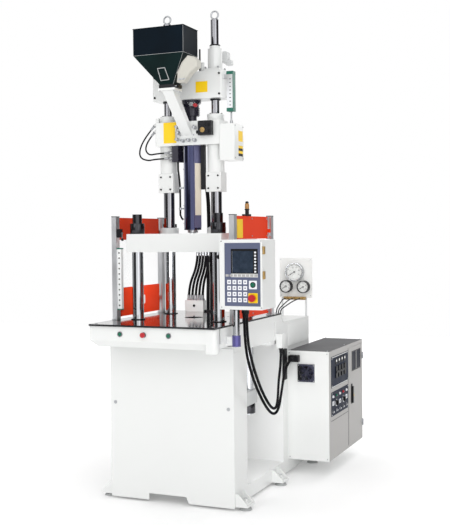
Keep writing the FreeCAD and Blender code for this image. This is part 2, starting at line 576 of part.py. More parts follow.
def hopper():
    mouth = (hopper_x0, hopper_x1, hopper_y0, hopper_y1)
    neck = (neck_x - neck_half, neck_x + neck_half, neck_y - neck_half, neck_y + neck_half)
    t = hopper_sheet
    outer = join(box(*mouth, hopper_knee, hopper_top), frustum(mouth, neck, hopper_knee, hopper_neck))
    inner = box(*shrink(mouth, t), hopper_knee, hopper_top + 1).fuse(
        frustum(shrink(mouth, t), shrink(neck, t), hopper_knee, hopper_neck))
    window = prism([V(neck_x - 27, 0, 2374), V(neck_x - 36, 0, 2429), V(neck_x + 3, 0, 2429),
                    V(neck_x + 18, 0, 2374)], V(0, 100, 0))
    put("hopper", outer.cut(inner).cut(window))
    glass = frustum(shrink(mouth, -1), shrink(neck, -1), hopper_knee, hopper_neck).cut(
        frustum(shrink(mouth, t), shrink(neck, t), hopper_knee, hopper_neck))
    put("hopper", glass.common(window))
    lid = box(hopper_x0 - 3, hopper_x1 + 3, hopper_y0 - 3, hopper_y1 + 3, hopper_top, hopper_top + 3)
    lip = box(*shrink(mouth, t + 3), hopper_top - 12, hopper_top)
    lip = lip.cut(box(*shrink(mouth, t + 5), hopper_top - 13, hopper_top))
    put("hopper_lid", join(lid, lip, *lid_hinges()))
    gate_z0 = hopper_neck - gate_h
    n0x, n1x, n0y, n1y = neck
    body = box(n0x - 4, n1x + 4, n0y - 4, n1y + 4, gate_z0, hopper_neck)
    slot = box(n0x + 8, n1x + 5, n0y + 8, n1y - 8, gate_z0 + 7, gate_z0 + 13)
    drop = box(n0x + 14, n1x - 14, n0y + 14, n1y - 14, gate_z0, hopper_neck)
    put("feed_chute", body.cut(slot).cut(drop))
    blade = box(n0x + 9, n1x + 16, n0y + 8 + free_gap, n1y - 8 - free_gap, gate_z0 + 7.5, gate_z0 + 12.5)
    grip = box(n1x + 16, n1x + 22, neck_y - 24, neck_y + 24, gate_z0 + 1, gate_z0 + 19)
    put("hopper_gate", join(blade, grip))
    flange_z0 = gate_z0 - flange_h
    flange = box(n0x - 10, n1x + 10, n0y - 6, n1y + 6, flange_z0, gate_z0)
    back_y = clamp_y - carriage_d / 2

    def slanted(wall):
        """The chute's block, or its bore when wall is its thickness: two crossed prisms."""
        y0, y1 = neck_y - chute_half + wall, neck_y + chute_half - wall
        z0, z1 = chute_end_z - 31 + wall, chute_end_z + 31 - wall
        side = prism([V(-200, y0, flange_z0), V(-200, y1, flange_z0), V(-200, back_y, z1),
                      V(-200, back_y, z0)], V(400, 0, 0))
        reach = chute_half - wall
        front = prism([V(neck_x - reach, 0, flange_z0), V(neck_x + reach, 0, flange_z0),
                       V(reach, 0, z0), V(-reach, 0, z0)], V(0, 400, 0))
        return side.common(front)

    chute = slanted(0).fuse(flange).removeSplitter()
    chute = chute.cut(slanted(4)).cut(box(*shrink(neck, 14), flange_z0 - 1, gate_z0 + 1))
    put("feed_chute", chute)
    outline = ((54, 2400), (80, 2453), (116, 2488), (153, 2479), (176, 2456), (176, 2423), (127, 2389),
               (90, 2343), (48, 2345))
    spout = prism([V(x, 16, z) for x, z in outline], V(0, 54, 0))
    spout = join(spout.makeFillet(12, [e for e in spout.Edges if abs(e.CenterOfMass.y - 16) < 0.1]),
                 box(30, 74, 50, 66, 2400, 2460))
    solid_hopper = join(box(*shrink(mouth, -0.5), hopper_knee, hopper_top + 1),
                        frustum(shrink(mouth, -0.5), shrink(neck, -0.5), hopper_knee, hopper_neck))
    put("hopper", max(spout.cut(solid_hopper).Solids, key=lambda s: s.Volume))


# ---------------------------------------------------------------- guards
def guards():
    x0, x1 = guard_x - guard_post_w / 2, guard_x + guard_post_w / 2
    y_front, y_back = guard_y0 + guard_post_d, guard_y1 - guard_post_d
    z1 = table_top + guard_height
    hinge_x, hinge_y = guard_x + 9.0, y_back - 8.0
    sides = {"left": -1, "right": 1}
    posts = []
    for y0 in (guard_y0, guard_y1 - guard_post_d):
        post = box(x0, x1, y0, y0 + guard_post_d, table_top, z1)
        posts += [post, mirror_x(post)]
    knuckles = []
    levels = (table_top + 60, z1 - 120)
    for z in levels:
        leaf = box(hinge_x - 3, hinge_x + 3, hinge_y, y_back, z, z + 20)
        pin = join(cyl(5, hinge_x, hinge_y, z, z + 20), cyl(3, hinge_x, hinge_y, z + 20, z + 44), leaf)
        knuckles += [pin, mirror_x(pin)]
    put("guard_posts", *posts)
    put("guard_posts", *knuckles)
    low0 = table_top + band_gap
    low1 = low0 + band_low_h
    high1 = z1 - 6
    high0 = high1 - band_high_h
    y0, y1 = y_front + travel_gap, y_back - 16
    for side, s in sides.items():
        bands = []
        for z0, z2 in ((low0, low1), (high0, high1)):
            sheet_band = box(guard_x - 3, guard_x, y0, y1, z0, z2)
            bands.append(sheet_band)
        eyes = []
        for z in levels:
            eye = ring(5, 3 + run_fit, hinge_x, hinge_y, z + 20.5, z + 42)
            arm = box(guard_x, hinge_x - 2, y1 - 10, hinge_y - 1, z + 20.5, z + 42)
            eyes.append(join(eye, arm.cut(cyl(3 + run_fit, hinge_x, hinge_y, z, z + 60))))
        window = box(guard_x - 3, guard_x, y0, y1, low1, high0)
        grip_y, grip_z = y0 + 290, low0 + 84
        grip = rod(11, V(guard_x - 3, grip_y, grip_z - 16), V(-1, 0, 0), 12)
        grip = join(grip, rod(11, V(guard_x - 3, grip_y, grip_z + 16), V(-1, 0, 0), 12),
                    box(guard_x - 15, guard_x - 3, grip_y - 11, grip_y + 11, grip_z - 16, grip_z + 16))
        bands_all = [join(bands[0], eyes[0]), join(bands[1], eyes[1])]
        flip = mirror_x if s < 0 else (lambda shape: shape)
        put("guard_door_" + side, *[flip(b) for b in bands_all])
        put("guard_door_" + side, flip(window))
        put("guard_door_" + side, flip(grip))
    switch_x = -x0
    put("limit_switch", box(switch_x, switch_x + 24, guard_y0 + 8, guard_y0 + 32, z1 - 120, z1 - 72))
    put("limit_switch", box(switch_x, switch_x + 26, guard_y0 + 8, guard_y0 + 32, 1084, 1425))
    lever_x, lever_y, lever_z = switch_x + 24, guard_y0 + 20, z1 - 96
    arm = box(lever_x + 2, lever_x + 5, lever_y - 4, lever_y + 4, lever_z - 36, lever_z)
    put("limit_lever", join(rod(6, V(lever_x, lever_y, lever_z), X_AXIS, 7), arm,
                            rod(8, V(lever_x + 1, lever_y, lever_z - 36), X_AXIS, 8)))


# ---------------------------------------------------------------- control box
def control_box():
    socket_z0, socket_z1 = 908.0, 968.0
    sleeve = cyl(pole_r + 4, pole_x, pole_y, socket_z0, socket_z1)
    arm = box(table_w / 2 + 2, pole_x, pole_y - 12, pole_y + 12, socket_z0 + 6, socket_z1 - 8)
    arm = arm.cut(cyl(pole_r + 4, pole_x, pole_y, socket_z0, socket_z1))
    sleeve = sleeve.cut(cyl(pole_r + run_fit, pole_x, pole_y, socket_z0 + 6, socket_z1))
    put("pole_socket", sleeve)
    pad = box(table_w / 2, table_w / 2 + 2, pole_y - 34, pole_y + 34, socket_z0, socket_z1)
    put("pole_socket", join(arm, pad))
    pole = join(cyl(pole_r, pole_x, pole_y, socket_z0 + 6.5, box_z0 - 8),
                cyl(pole_r + 16, pole_x, pole_y, box_z0 - 8, box_z0))
    put("pole", pole)
    x0, x1 = box_x0, box_x0 + box_w
    y0, y1 = box_y0, box_y0 + box_d
    z0, z1 = box_z0, box_z0 + box_h
    shell = round_edges(box(x0, x1, y0 + 4, y1, z0, z1), 5, Y_AXIS)
    shell = shell.cut(box(x0 + 3, x1 - 3, y0 + 3, y1 - 3, z0 + 3, z1 - 3))
    put("control_box", shell)
    face = round_edges(box(x0, x1, y0, y0 + 4, z0, z1), 5, Y_AXIS)
    start_x, start_z = x1 - 52, z0 + 130
    stop_z = z0 + 62
    face = face.cut([box(x0 + 72, x0 + 190, y0 - 1, y0 + 5, z1 - 172, z1 - 58),
                     rod(11.5, V(start_x, y0 - 1, start_z), Y_AXIS, 6),
                     rod(11.5, V(start_x, y0 - 1, stop_z), Y_AXIS, 6)])
    put("control_face", face)
    put("control_face", box(x0 + 72, x0 + 190, y0 + 2, y0 + 4, z1 - 172, z1 - 58))
    rims = []
    for z in (start_z, stop_z):
        rim = join(rod(15, V(start_x, y0 - 3, z), Y_AXIS, 3), rod(11.5, V(start_x, y0, z), Y_AXIS, 20))
        rims.append(rim.cut(rod(10 + free_gap, V(start_x, y0 - 4, z), Y_AXIS, 40)))
    put("control_face", *rims)
    put("cycle_button", rod(10, V(start_x, y0 - 8, start_z), Y_AXIS, 26))
    mushroom = rod(19, V(start_x, y0 - 24, stop_z), Y_AXIS, 12)
    put("emergency_stop", join(mushroom, rod(10, V(start_x, y0 - 12, stop_z), Y_AXIS, 30)))
    for z in (z1 - 56, z0 + 180):
        leaf = box(x1, x1 + 6, y0 + 2, y0 + 30, z - 20, z + 20)
        put("control_box", join(rod(6, V(x1 + 6, y0 + 4, z - 20), Z_AXIS, 40), leaf))
    put("control_box", *[cyl(13, gx, gy, box_z0 - 18, box_z0) for gx, gy in gland_xy])


gland_xy = ((pole_x + 24.0, pole_y + 52.0), (pole_x + 52.0, pole_y + 20.0))


# ---------------------------------------------------------------- electrical cabinet and gauges
def cabinet_walls(x0, x1, y0, y1, z0, z1):
    """Floor, roof and walls; the right wall is a frame round the doorway."""
    t = cab_sheet
    put("cabinet_shell", box(x0, x1, y0, y1, z0, z0 + t), box(x0, x1, y0, y1, z1 - t, z1))
    low, high = z0 + t, z1 - t
    put("cabinet_shell", box(x0, x0 + t, y0, y1, low, high))
    fan_hole = rod(fan_bore, V(fan_x, y0 - 1, fan_z), Y_AXIS, t + 2)
    put("cabinet_shell", box(x0 + t, x1, y0, y0 + t, low, high).cut(fan_hole))
    put("cabinet_shell", box(x0 + t, x1, y1 - t, y1, low, high))
    door_y0, door_y1 = y0 + cab_split, y1 - 16
    put("cabinet_shell", box(x1 - t, x1, y0 + t, door_y0, low, high))
    put("cabinet_shell", box(x1 - t, x1, door_y1, y1 - t, low, high))
    put("cabinet_shell", box(x1 - t, x1, door_y0, door_y1, low, z0 + 16))
    put("cabinet_shell", box(x1 - t, x1, door_y0, door_y1, z1 - 24, high))


def cabinet_door(x1, door_y0, door_y1, z0, z1):
    """The swinging door with its window, handle and hinge eyes."""
    t, gap = cab_sheet, 1.5
    door = box(x1 - t, x1 + 1, door_y0 + gap, door_y1 - gap, z0 + 16 + gap, z1 - 24 - gap)
    window = box(x1 - t - 1, x1 + 2, door_y0 + 60, door_y1 - 40, z1 - 180, z1 - 60)
    handle_y, handle_z = door_y0 + 50, z0 + 345
    door = door.cut([window, rod(8 + run_fit, V(x1 - t - 1, handle_y, handle_z), X_AXIS, 10)])
    hinge_x, hinge_y = x1 + 7, door_y1 + 5
    for z in (z0 + 90, z1 - 130):
        pin = join(cyl(5, hinge_x, hinge_y, z, z + 20), cyl(3, hinge_x, hinge_y, z + 20, z + 44),
                   box(x1, hinge_x, hinge_y - 4, hinge_y + 4, z, z + 20))
        put("cabinet_shell", pin)
        eye = join(ring(5, 3 + run_fit, hinge_x, hinge_y, z + 20.5, z + 42),
                   box(x1 + 1, x1 + 4, door_y1 - 24, hinge_y - 1, z + 20.5, z + 42))
        door = join(door, eye.cut(cyl(3 + run_fit, hinge_x, hinge_y, z, z + 60)))
    put("cabinet_door", door)
    put("cabinet_door", box(x1 - t, x1, door_y0 + 60, door_y1 - 40, z1 - 180, z1 - 60))
    shaft = rod(8, V(x1 - 12, handle_y, handle_z), X_AXIS, 22)
    grip = box(x1 + 4, x1 + 14, handle_y - 9, handle_y + 9, handle_z - 60, handle_z + 50)
    put("door_handle", join(shaft, grip))


def cabinet_controls(x1, y0, z0):
    """Meter and switch panels with their breakers and selectors, on the right wall."""
    put("cabinet_shell", box(x1, x1 + 2, y0 + 44, y0 + 412, z0 + 446, z0 + 640))
    put("cabinet_shell", box(x1, x1 + 2, y0 + 44, y0 + 412, z0 + 270, z0 + 420))
    first, pitch, wide = y0 + 130, 62, 34
    rockers = [box(x1 + 2, x1 + 8, first + pitch * k, first + pitch * k + wide, z0 + 500, z0 + 572)
               for k in range(4)]
    link = box(x1 + 8, x1 + 11, first, first + pitch * 3 + wide, z0 + 530, z0 + 542)
    put("breaker_lever", join(link, *rockers))
    for name, y in (("selector_front", y0 + 140), ("selector_back", y0 + 300)):
        knob = rod(16, V(x1 + 2, y, z0 + 345), X_AXIS, 6)
        put(name, join(knob, box(x1 + 8, x1 + 18, y - 5, y + 5, z0 + 331, z0 + 359)))


def cabinet():
    x0, x1 = half, half + cab_w
    y0, y1 = cab_y0, cab_y0 + cab_d
    z0, z1 = cab_z0, cab_z0 + cab_h
    cabinet_walls(x0, x1, y0, y1, z0, z1)
    cabinet_door(x1, y0 + cab_split, y1 - 16, z0, z1)
    cabinet_controls(x1, y0, z0)
    plate_x0, plate_x1 = x0 + cab_sheet, x0 + cab_sheet + 4
    plate = box(plate_x0, plate_x1, y0 + 40, y1 - 40, z0 + 40, z1 - 40)
    units = [box(plate_x1, plate_x1 + 86, y0 + 90 + 170 * k, y0 + 200 + 170 * k, z0 + 320, z0 + 520)
             for k in range(4)]
    put("cabinet_shell", plate, *units)
    put("cabinet_shell", round_edges(box(398, 464, y0 - 40, y0, 712, 750), 4, Z_AXIS))
    fan(y0)


def fan(y0):
    """A box fan in the front wall with its finger guard."""
    hub = rod(16, V(fan_x, y0 + 10, fan_z), Y_AXIS, 18)
    blades = []
    for k in range(5):
        blade = box(12, 42, 0, 3, -9, 9)
        blade.rotate(V(0, 0, 0), X_AXIS, 35)
        blade.rotate(V(0, 0, 0), Y_AXIS, 72 * k)
        blade.translate(V(fan_x, y0 + 17, fan_z))
        blades.append(blade)
    put("fan_rotor", join(hub, *blades))
    r = fan_size / 2
    frame = box(fan_x - r, fan_x + r, y0 - 8, y0, fan_z - r, fan_z + r).cut(
        rod(fan_bore, V(fan_x, y0 - 9, fan_z), Y_AXIS, 10))
    wires = [Part.makeTorus(wire_ring, 1.6, V(fan_x, y0 - 4, fan_z), Y_AXIS) for wire_ring in (16, 28, 40)]
    for k in range(4):
        spoke = box(-fan_bore - 2, fan_bore + 2, -1.2, 1.2, -1.6, 1.6)
        spoke.rotate(V(0, 0, 0), Y_AXIS, 45 * k + 22)
        spoke.translate(V(fan_x, y0 - 4, fan_z))
        wires.append(spoke)
    put("cabinet_shell", join(frame, *wires))


gauge_centres = (("main", gauge_x0 + 113, gauge_z0 + 172, 60.0),
                 ("left", gauge_x0 + 52, gauge_z0 + 76, 41.0), ("right", gauge_x0 + 172, gauge_z0 + 74, 41.0))


def gauges():
    x1 = gauge_x0 + gauge_w
    plate = box(gauge_x0, x1, gauge_y, gauge_y + 4, gauge_z0, gauge_z0 + gauge_h)
    posts = [cyl(6, x, gauge_y + 10, rear_height, gauge_z0 + 60) for x in (gauge_x0 + 14, half - 12)]
    put("gauge_panel", join(plate, *posts))
    cases, glasses = [], []
    for name, x, z, r in gauge_centres:
        case = rod(r, V(x, gauge_y - 38, z), Y_AXIS, 38).cut(rod(r - 5, V(x, gauge_y - 39, z), Y_AXIS, 13))
        case = join(case, rod(2.5, V(x, gauge_y - 26, z), V(0, -1, 0), 6))
        cases.append(case)
        glasses.append(rod(r - 5, V(x, gauge_y - 38, z), Y_AXIS, 2))
        hub = rod(6, V(x, gauge_y - 31, z), Y_AXIS, 3)
        hub = join(hub, box(x - 1.5, x + 1.5, gauge_y - 30.5, gauge_y - 28.5, z, z + r - 14))
        hub = hub.cut(rod(2.5 + run_fit, V(x, gauge_y - 40, z), Y_AXIS, 20))
        hub.rotate(V(x, 0, z), Y_AXIS, -120)
        put("needle_" + name, hub)
    put("gauge_panel", *cases)
    put("gauge_panel", *glasses)


# ---------------------------------------------------------------- hoses and conduits
conduit_r, pressure_r, supply_r, riser_r, capillary_r, loop_r = 8.0, 8.0, 11.0, 12.0, 3.6, 4.5
manifold_x0, manifold_x1, manifold_y, manifold_z = -251.0, -126.0, 750.0, 1090.0
bracket_x0, bracket_x1, bracket_back, bracket_t = -134.0, -34.0, 772.0, 30.0
supply_x = (-104.0, -79.0)
riser_x = -92.0
flange_t = 10.0
relay_x, relay_y, relay_z = 400.0, 700.0, 815.0       # gland block beside the rear beam
plug_x, plug_y, plug_z = 431.0, 830.0, 731.0          # front of the cabinet connector
outlet_y, outlet_z = 1240.0, 1080.0                   # gauge outlets
inlet_y, inlet_z = 815.0, 963.0                       # capillary inlets on the rear post
outlets = ((250.0, 330.0), (300.0, 342.0), (350.0, 354.0))
loop_tip_x, loop_tip_y = -240.0, 311.0
loop_tips = (2150.0, 2112.0)


def hose_fittings():
    """Blocks, brackets and nipples that the hoses end in."""
    block = box(manifold_x0, manifold_x1, manifold_y - 28, manifold_y + 18, table_top, manifold_z)
    plug = rod(8, V((manifold_x0 + manifold_x1) / 2, manifold_y - 31, table_top + 36), Y_AXIS, 3)
    put("hose_fittings", join(block, plug))
    put("hose_fittings", box(supply_x[0] - 18, supply_x[1] + 17, manifold_y - 20, manifold_y + 20,
                             table_top, table_top + flange_t))
    put("hose_fittings", box(half, relay_x + 18, relay_y - 30, relay_y + 30, relay_z, relay_z + 85))
    put("hose_fittings", box(outlets[0][1] - 10, outlets[2][1] + 10, inlet_y - 10, inlet_y + 10,
                             rear_height, inlet_z))
    back = clamp_y + upper_d / 2
    put("upper_platen", box(bracket_x0, bracket_x1, back, bracket_back,
                            upper_bottom, upper_bottom + bracket_t))
    put("gauge_panel", box(gauge_x0 + 35, gauge_x0 + 185, outlet_y, gauge_y, gauge_z0 - 12, gauge_z0 + 8))
    side = -carriage_w / 2
    port = box(side - 21, side, loop_tip_y - 16, loop_tip_y + 16, carriage_z + 80, carriage_top + 33)
    stubs = [rod(7, V(loop_tip_x, loop_tip_y, z), V(1, 0, 1), 34) for z in loop_tips]
    plate = box(side, 0, clamp_y - 66, clamp_y + 66, carriage_z, carriage_top + 100)
    put("injection_carriage", join(port, *stubs).cut(plate))


def control_conduits():
    """Two conduits from the control box, hanging in one bight to the cabinet and the rear beam."""
    (ax, ay), (bx, by) = gland_xy
    top = box_z0 - 18
    outer = [(ax, ay, top), (ax, ay, 930), (ax - 3, ay + 86, 762), (ax - 6, ay + 248, 588),
             (ax - 10, 405, 460), (ax - 12, 530, 456), (ax - 16, 604, 575), (ax - 20, 657, 662),
             (plug_x, 755, plug_z), (plug_x, plug_y, plug_z)]
    inner = [(bx, by, top), (bx, by, 950), (bx - 3, by + 90, 790), (bx - 11, by + 230, 640),
             (bx - 27, 360, 514), (bx - 37, 478, 480), (bx - 49, 548, 522), (bx - 63, 598, 620),
             (relay_x, relay_y, 730), (relay_x, relay_y, relay_z)]
    put("control_conduits", cord_tube(outer, conduit_r, "conduit to cabinet"),
        cord_tube(inner, conduit_r, "conduit to beam"))


def gauge_hoses():
    for k, (x0, x1) in enumerate(outlets):
        points = [(x0, outlet_y, outlet_z - 2)]
        sag = ((1170, outlet_z - 2), (1100, 1074), (1030, 1066), (958, 1056), (886, 1045))
        for j, (y, z) in enumerate(sag):
            points.append((x0 + (x1 - x0) * j / 5.0, y, z))
        points += [(x1, inlet_y, 1031), (x1, inlet_y, inlet_z)]
        put("gauge_hoses", cord_tube(points, capillary_r, "gauge hose %d" % (k + 1)))


def platen_hoses():
    """Hoses from the table to the bracket behind the upper platen."""
    count = 5
    for k in range(count):
        x0 = manifold_x0 + 14 + 24 * k
        x1, y1 = -122 + 19 * k, 640
        points = [(x0, manifold_y, manifold_z), (x0, manifold_y, manifold_z + 90),
                  (x1, y1, upper_bottom - 90), (x1, y1, upper_bottom)]
        put("platen_hoses", cord_tube(points, pressure_r, "platen hose %d" % (k + 1)))
    for x in supply_x:
        z0, span = table_top + flange_t, upper_bottom - table_top - flange_t
        points = [(x, manifold_y, z0), (x, manifold_y, z0 + span * 0.26),
                  (x, manifold_y + 8, z0 + span * 0.5), (x, manifold_y, z0 + span * 0.74),
                  (x, manifold_y, upper_bottom)]
        put("platen_hoses", cord_tube(points, supply_r, "supply hose"))


def carriage_hoses():
    z0, back = upper_bottom + bracket_t, clamp_y + carriage_d / 2
    points = [(riser_x, manifold_y, z0), (riser_x, manifold_y, z0 + 160),
              (riser_x, manifold_y - 10, z0 + 310), (riser_x, 680, carriage_z - 100),
              (riser_x, 540, carriage_z + 40), (riser_x, back, carriage_z + 40)]
    put("carriage_hoses", cord_tube(points, riser_r, "carriage hose"))


def injection_hoses():
    x0, y0 = -112, clamp_y - carriage_d / 2 - 2
    top, low = loop_tips
    outer = [(x0, y0, 1948), (x0 - 90, y0, 1948), (-262, 262, 1940), (-322, 272, 1962), (-330, 290, 2020),
             (loop_tip_x - 55, loop_tip_y, top - 55), (loop_tip_x, loop_tip_y, top)]
    inner = [(x0, y0, 1980), (x0 - 78, y0, 1980), (-255, 262, 1972), (-292, 282, 2012),
             (loop_tip_x - 40, loop_tip_y, low - 40), (loop_tip_x, loop_tip_y, low)]
    put("injection_hoses", cord_tube(outer, loop_r, "outer loop"), cord_tube(inner, loop_r, "inner loop"))


def main():
    for build in (base_frame, front_panel, side_panel, feet, rear_body, lower_platen, table, console, clamp,
                  columns, carriage_plate, cross_block, drive_and_screw, barrel, carriage_fittings, hopper,
                  guards, control_box, cabinet, gauges, hose_fittings, control_conduits, gauge_hoses,
                  platen_hoses, carriage_hoses, injection_hoses):
        build()
    return finish()


cord_nodes = ["control_conduits", "gauge_hoses", "platen_hoses", "carriage_hoses", "injection_hoses"]


def finish():
    """Moves the origin to the bottom centre of the box and writes one STEP file a node."""
    whole = FreeCAD.BoundBox()
    for name, solids in nodes.items():
        if name not in cord_nodes:
            for solid in solids:
                whole.add(solid.BoundBox)
    shift = V(-(whole.XMin + whole.XMax) / 2, -(whole.YMin + whole.YMax) / 2, -whole.ZMin)
    os.makedirs("parts", exist_ok=True)
    for name, solids in nodes.items():
        shape = solids[0] if len(solids) == 1 else Part.makeCompound(solids)
        moved = shape.copy()
        moved.translate(shift)
        moved.exportStep("parts/%s.step" % name)
    print("%d nodes, shift %s, size %.0f x %.0f x %.0f" % (
        len(nodes), tuple(round(c, 3) for c in shift), whole.XLength, whole.YLength, whole.ZLength))
    return shift


main()
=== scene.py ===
"""Looks of the vertical injection moulding machine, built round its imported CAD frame.

Places are written in the machine's own millimetres, as in the part's source: X = 0 on the clamp axis (+X to
the operator's right), Y = 0 at the front panel (+Y to the back), Z = 0 on the floor.  at() turns them into the
frame's metres.
"""
from math import cos, hypot, pi, radians, sin, sqrt
import bmesh
import bpy
from mathutils import Matrix, Vector

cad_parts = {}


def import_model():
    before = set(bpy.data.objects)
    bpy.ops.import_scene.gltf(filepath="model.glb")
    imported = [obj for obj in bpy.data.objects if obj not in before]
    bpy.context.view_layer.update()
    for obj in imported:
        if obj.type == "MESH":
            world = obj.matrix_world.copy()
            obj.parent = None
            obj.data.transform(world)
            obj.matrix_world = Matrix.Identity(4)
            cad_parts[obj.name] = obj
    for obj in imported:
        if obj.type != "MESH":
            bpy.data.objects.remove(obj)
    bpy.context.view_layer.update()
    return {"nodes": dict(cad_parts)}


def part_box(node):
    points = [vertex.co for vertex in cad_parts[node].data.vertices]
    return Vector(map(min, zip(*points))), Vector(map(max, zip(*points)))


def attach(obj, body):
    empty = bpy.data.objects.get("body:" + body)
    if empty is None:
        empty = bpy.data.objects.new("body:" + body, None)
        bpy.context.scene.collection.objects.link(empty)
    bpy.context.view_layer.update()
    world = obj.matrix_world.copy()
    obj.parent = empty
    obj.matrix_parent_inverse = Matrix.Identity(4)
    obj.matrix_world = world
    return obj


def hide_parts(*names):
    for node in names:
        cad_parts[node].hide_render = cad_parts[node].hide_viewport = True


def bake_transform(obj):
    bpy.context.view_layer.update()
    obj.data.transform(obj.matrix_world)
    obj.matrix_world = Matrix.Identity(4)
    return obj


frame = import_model()
panel_low, panel_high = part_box("front_panel")
lock_head = 0.003         # the locks stand this far in front of the front panel
origin = Vector(((panel_low.x + panel_high.x) / 2, panel_low.y + lock_head, 0.0))
scene = bpy.context.scene
FRONT, BACK, RIGHT, UP, DOWN = (0, -1, 0), (0, 1, 0), (1, 0, 0), (0, 0, 1), (0, 0, -1)
clamp_y = 316             # clamp axis
rod_x = 152               # carriage and injection rods, either side of the clamp axis
face_y = 250              # front face of the carriage plate and the crosshead
table_top = 1020
guard_x = 365             # outer face of a guard band
switch_x = 652            # face of the cabinet's switch panels
hopper_knee, hopper_neck = 2508, 2346
mouth_left, mouth_right, mouth_front, mouth_back = -215, 95, 12, 200     # hopper mouth
neck_right, neck_front = 4, 70                                           # right front corner of its neck
bump_depth = 0.001        # metres
node_edge_angle, piece_edge_angle = 35, 40     # degrees; sharper edges are bevelled


def at(x, y, z):
    return origin + Vector((x, y, z)) / 1000


# ---------------------------------------------------------------- camera, floor and light
def make_camera():
    """Standing eye height, off the right front corner, level within two degrees."""
    yaw, pitch, roll = (radians(a) for a in (23.293, 1.638, -0.552))
    forward = Vector((-sin(yaw) * cos(pitch), cos(yaw) * cos(pitch), -sin(pitch)))
    level = Vector((cos(yaw), sin(yaw), 0))
    above = level.cross(forward)
    right = level * cos(roll) + above * sin(roll)
    up = above * cos(roll) - level * sin(roll)
    data = bpy.data.cameras.new("camera")
    data.sensor_width, data.lens = 36.0, 65.68
    data.clip_end = 60
    camera = bpy.data.objects.new("camera", data)
    rows = [(right[k], up[k], -forward[k], 0) for k in range(3)]
    camera.matrix_world = Matrix((*rows, (0, 0, 0, 1)))
    camera.location = at(2383.4, -4751.0, 1500.0)
    scene.collection.objects.link(camera)
    scene.camera = camera


def make_studio():
    """A white surround whose light comes from tall soft panels with darker gaps, so that metal has contrast."""
    scene.world = bpy.data.worlds.new("studio")
    n = Nodes(scene.world)

    def calc(operation, a, b=0.0):
        return n.add("Math", {0: a, 1: b}, operation=operation).outputs[0]

    def panel(facing, dark, bright, strength, floor=0.05):
        """Light that rises smoothly to its strength as facing goes from dark to bright."""
        return n.ramp(facing, floor, strength, dark, bright, interpolation_type="SMOOTHSTEP")

    way = n.add("SeparateXYZ", {0: n.coordinates.outputs["Generated"]}).outputs
    turn = calc("ARCTAN2", way["Y"], way["X"])
    facing = calc("COSINE", calc("ADD", turn, 1.1))
    front = panel(facing, 0.8, 0.9, 1.6)
    rear = panel(calc("MULTIPLY", facing, -1.0), 0.6, 0.8, 0.95)
    side = panel(calc("COSINE", calc("ADD", turn, 3.0)), 0.93, 0.98, 0.7)
    above = panel(way["Z"], 0.3, 0.75, 0.85, 0.0)
    light = calc("MAXIMUM", calc("MAXIMUM", calc("MAXIMUM", front, rear), side), above)
    seen = n.add("LightPath").outputs["Is Camera Ray"]
    background = n.tree.nodes["Background"].inputs
    n.feed(background["Strength"], calc("MAXIMUM", light, seen))
    n.feed(background["Color"], (1, 1, 1, 1))
    for name, place, target, size, power in (
            ("key", (-1900, -4200, 3400), (0, 200, 1300), 2.6, 44),
            ("fill", (3900, -2200, 2300), (0, 300, 1200), 3.0, 28),
            ("back", (1500, 3800, 3600), (0, 400, 1500), 2.5, 36),
            ("bay", (300, 240, 520), (60, 780, 430), 0.6, 1.6),
            ("mould_space", (-60, 240, 1360), (-170, 730, 1050), 0.3, 3.0)):
        light = bpy.data.lights.new(name, "AREA")
        light.size, light.energy = size, power
        lamp = bpy.data.objects.new(name, light)
        lamp.location = at(*place)
        lamp.rotation_euler = (at(*target) - at(*place)).to_track_quat("-Z", "Y").to_euler()
        lamp.visible_camera = False
        scene.collection.objects.link(lamp)
    scene.view_settings.view_transform = "Standard"


# ---------------------------------------------------------------- materials
class Nodes:
    """A short way to build the node tree of a material or of the world."""

    def __init__(self, owner):
        owner.use_nodes = True
        self.owner, self.tree = owner, owner.node_tree
        self.coordinates = self.tree.nodes.new("ShaderNodeTexCoord")
        self.place = self.coordinates.outputs["Object"]
        self.shader = self.tree.nodes.get("Principled BSDF")

    def feed(self, socket, value):
        """Gives an input a link or a plain value."""
        if isinstance(value, bpy.types.NodeSocket):
            self.tree.links.new(value, socket)
        else:
            socket.default_value = value

    def add(self, kind, inputs=(), **settings):
        node = self.tree.nodes.new("ShaderNode" + kind)
        for key, value in settings.items():
            setattr(node, key, value)
        for key, value in dict(inputs).items():
            self.feed(node.inputs[key], value)
        return node

    def noise(self, scale, stretch=(1, 1, 1), detail=3.0):
        place = self.add("Mapping", {"Vector": self.place, "Scale": stretch}).outputs[0]
        return self.add("TexNoise", {"Vector": place, "Scale": scale, "Detail": detail}).outputs["Fac"]

    def ramp(self, fac, low, high, at_low=0.35, at_high=0.65, **settings):
        return self.add("MapRange", {"Value": fac, "From Min": at_low, "From Max": at_high, "To Min": low,
                                     "To Max": high}, **settings).outputs["Result"]

    def mix(self, fac, a, b):
        return self.add("Mix", {0: fac, 6: a, 7: b}, data_type="RGBA").outputs[2]

    def bump(self, height, strength):
        self.set(Normal=self.add("Bump", {"Height": height, "Strength": strength,
                                          "Distance": bump_depth}).outputs[0])

    def set(self, **values):
        for key, value in values.items():
            self.feed(self.shader.inputs[key.replace("_", " ")], value)


def shade(colour, share):
    return (colour[0] * share, colour[1] * share, colour[2] * share, 1)


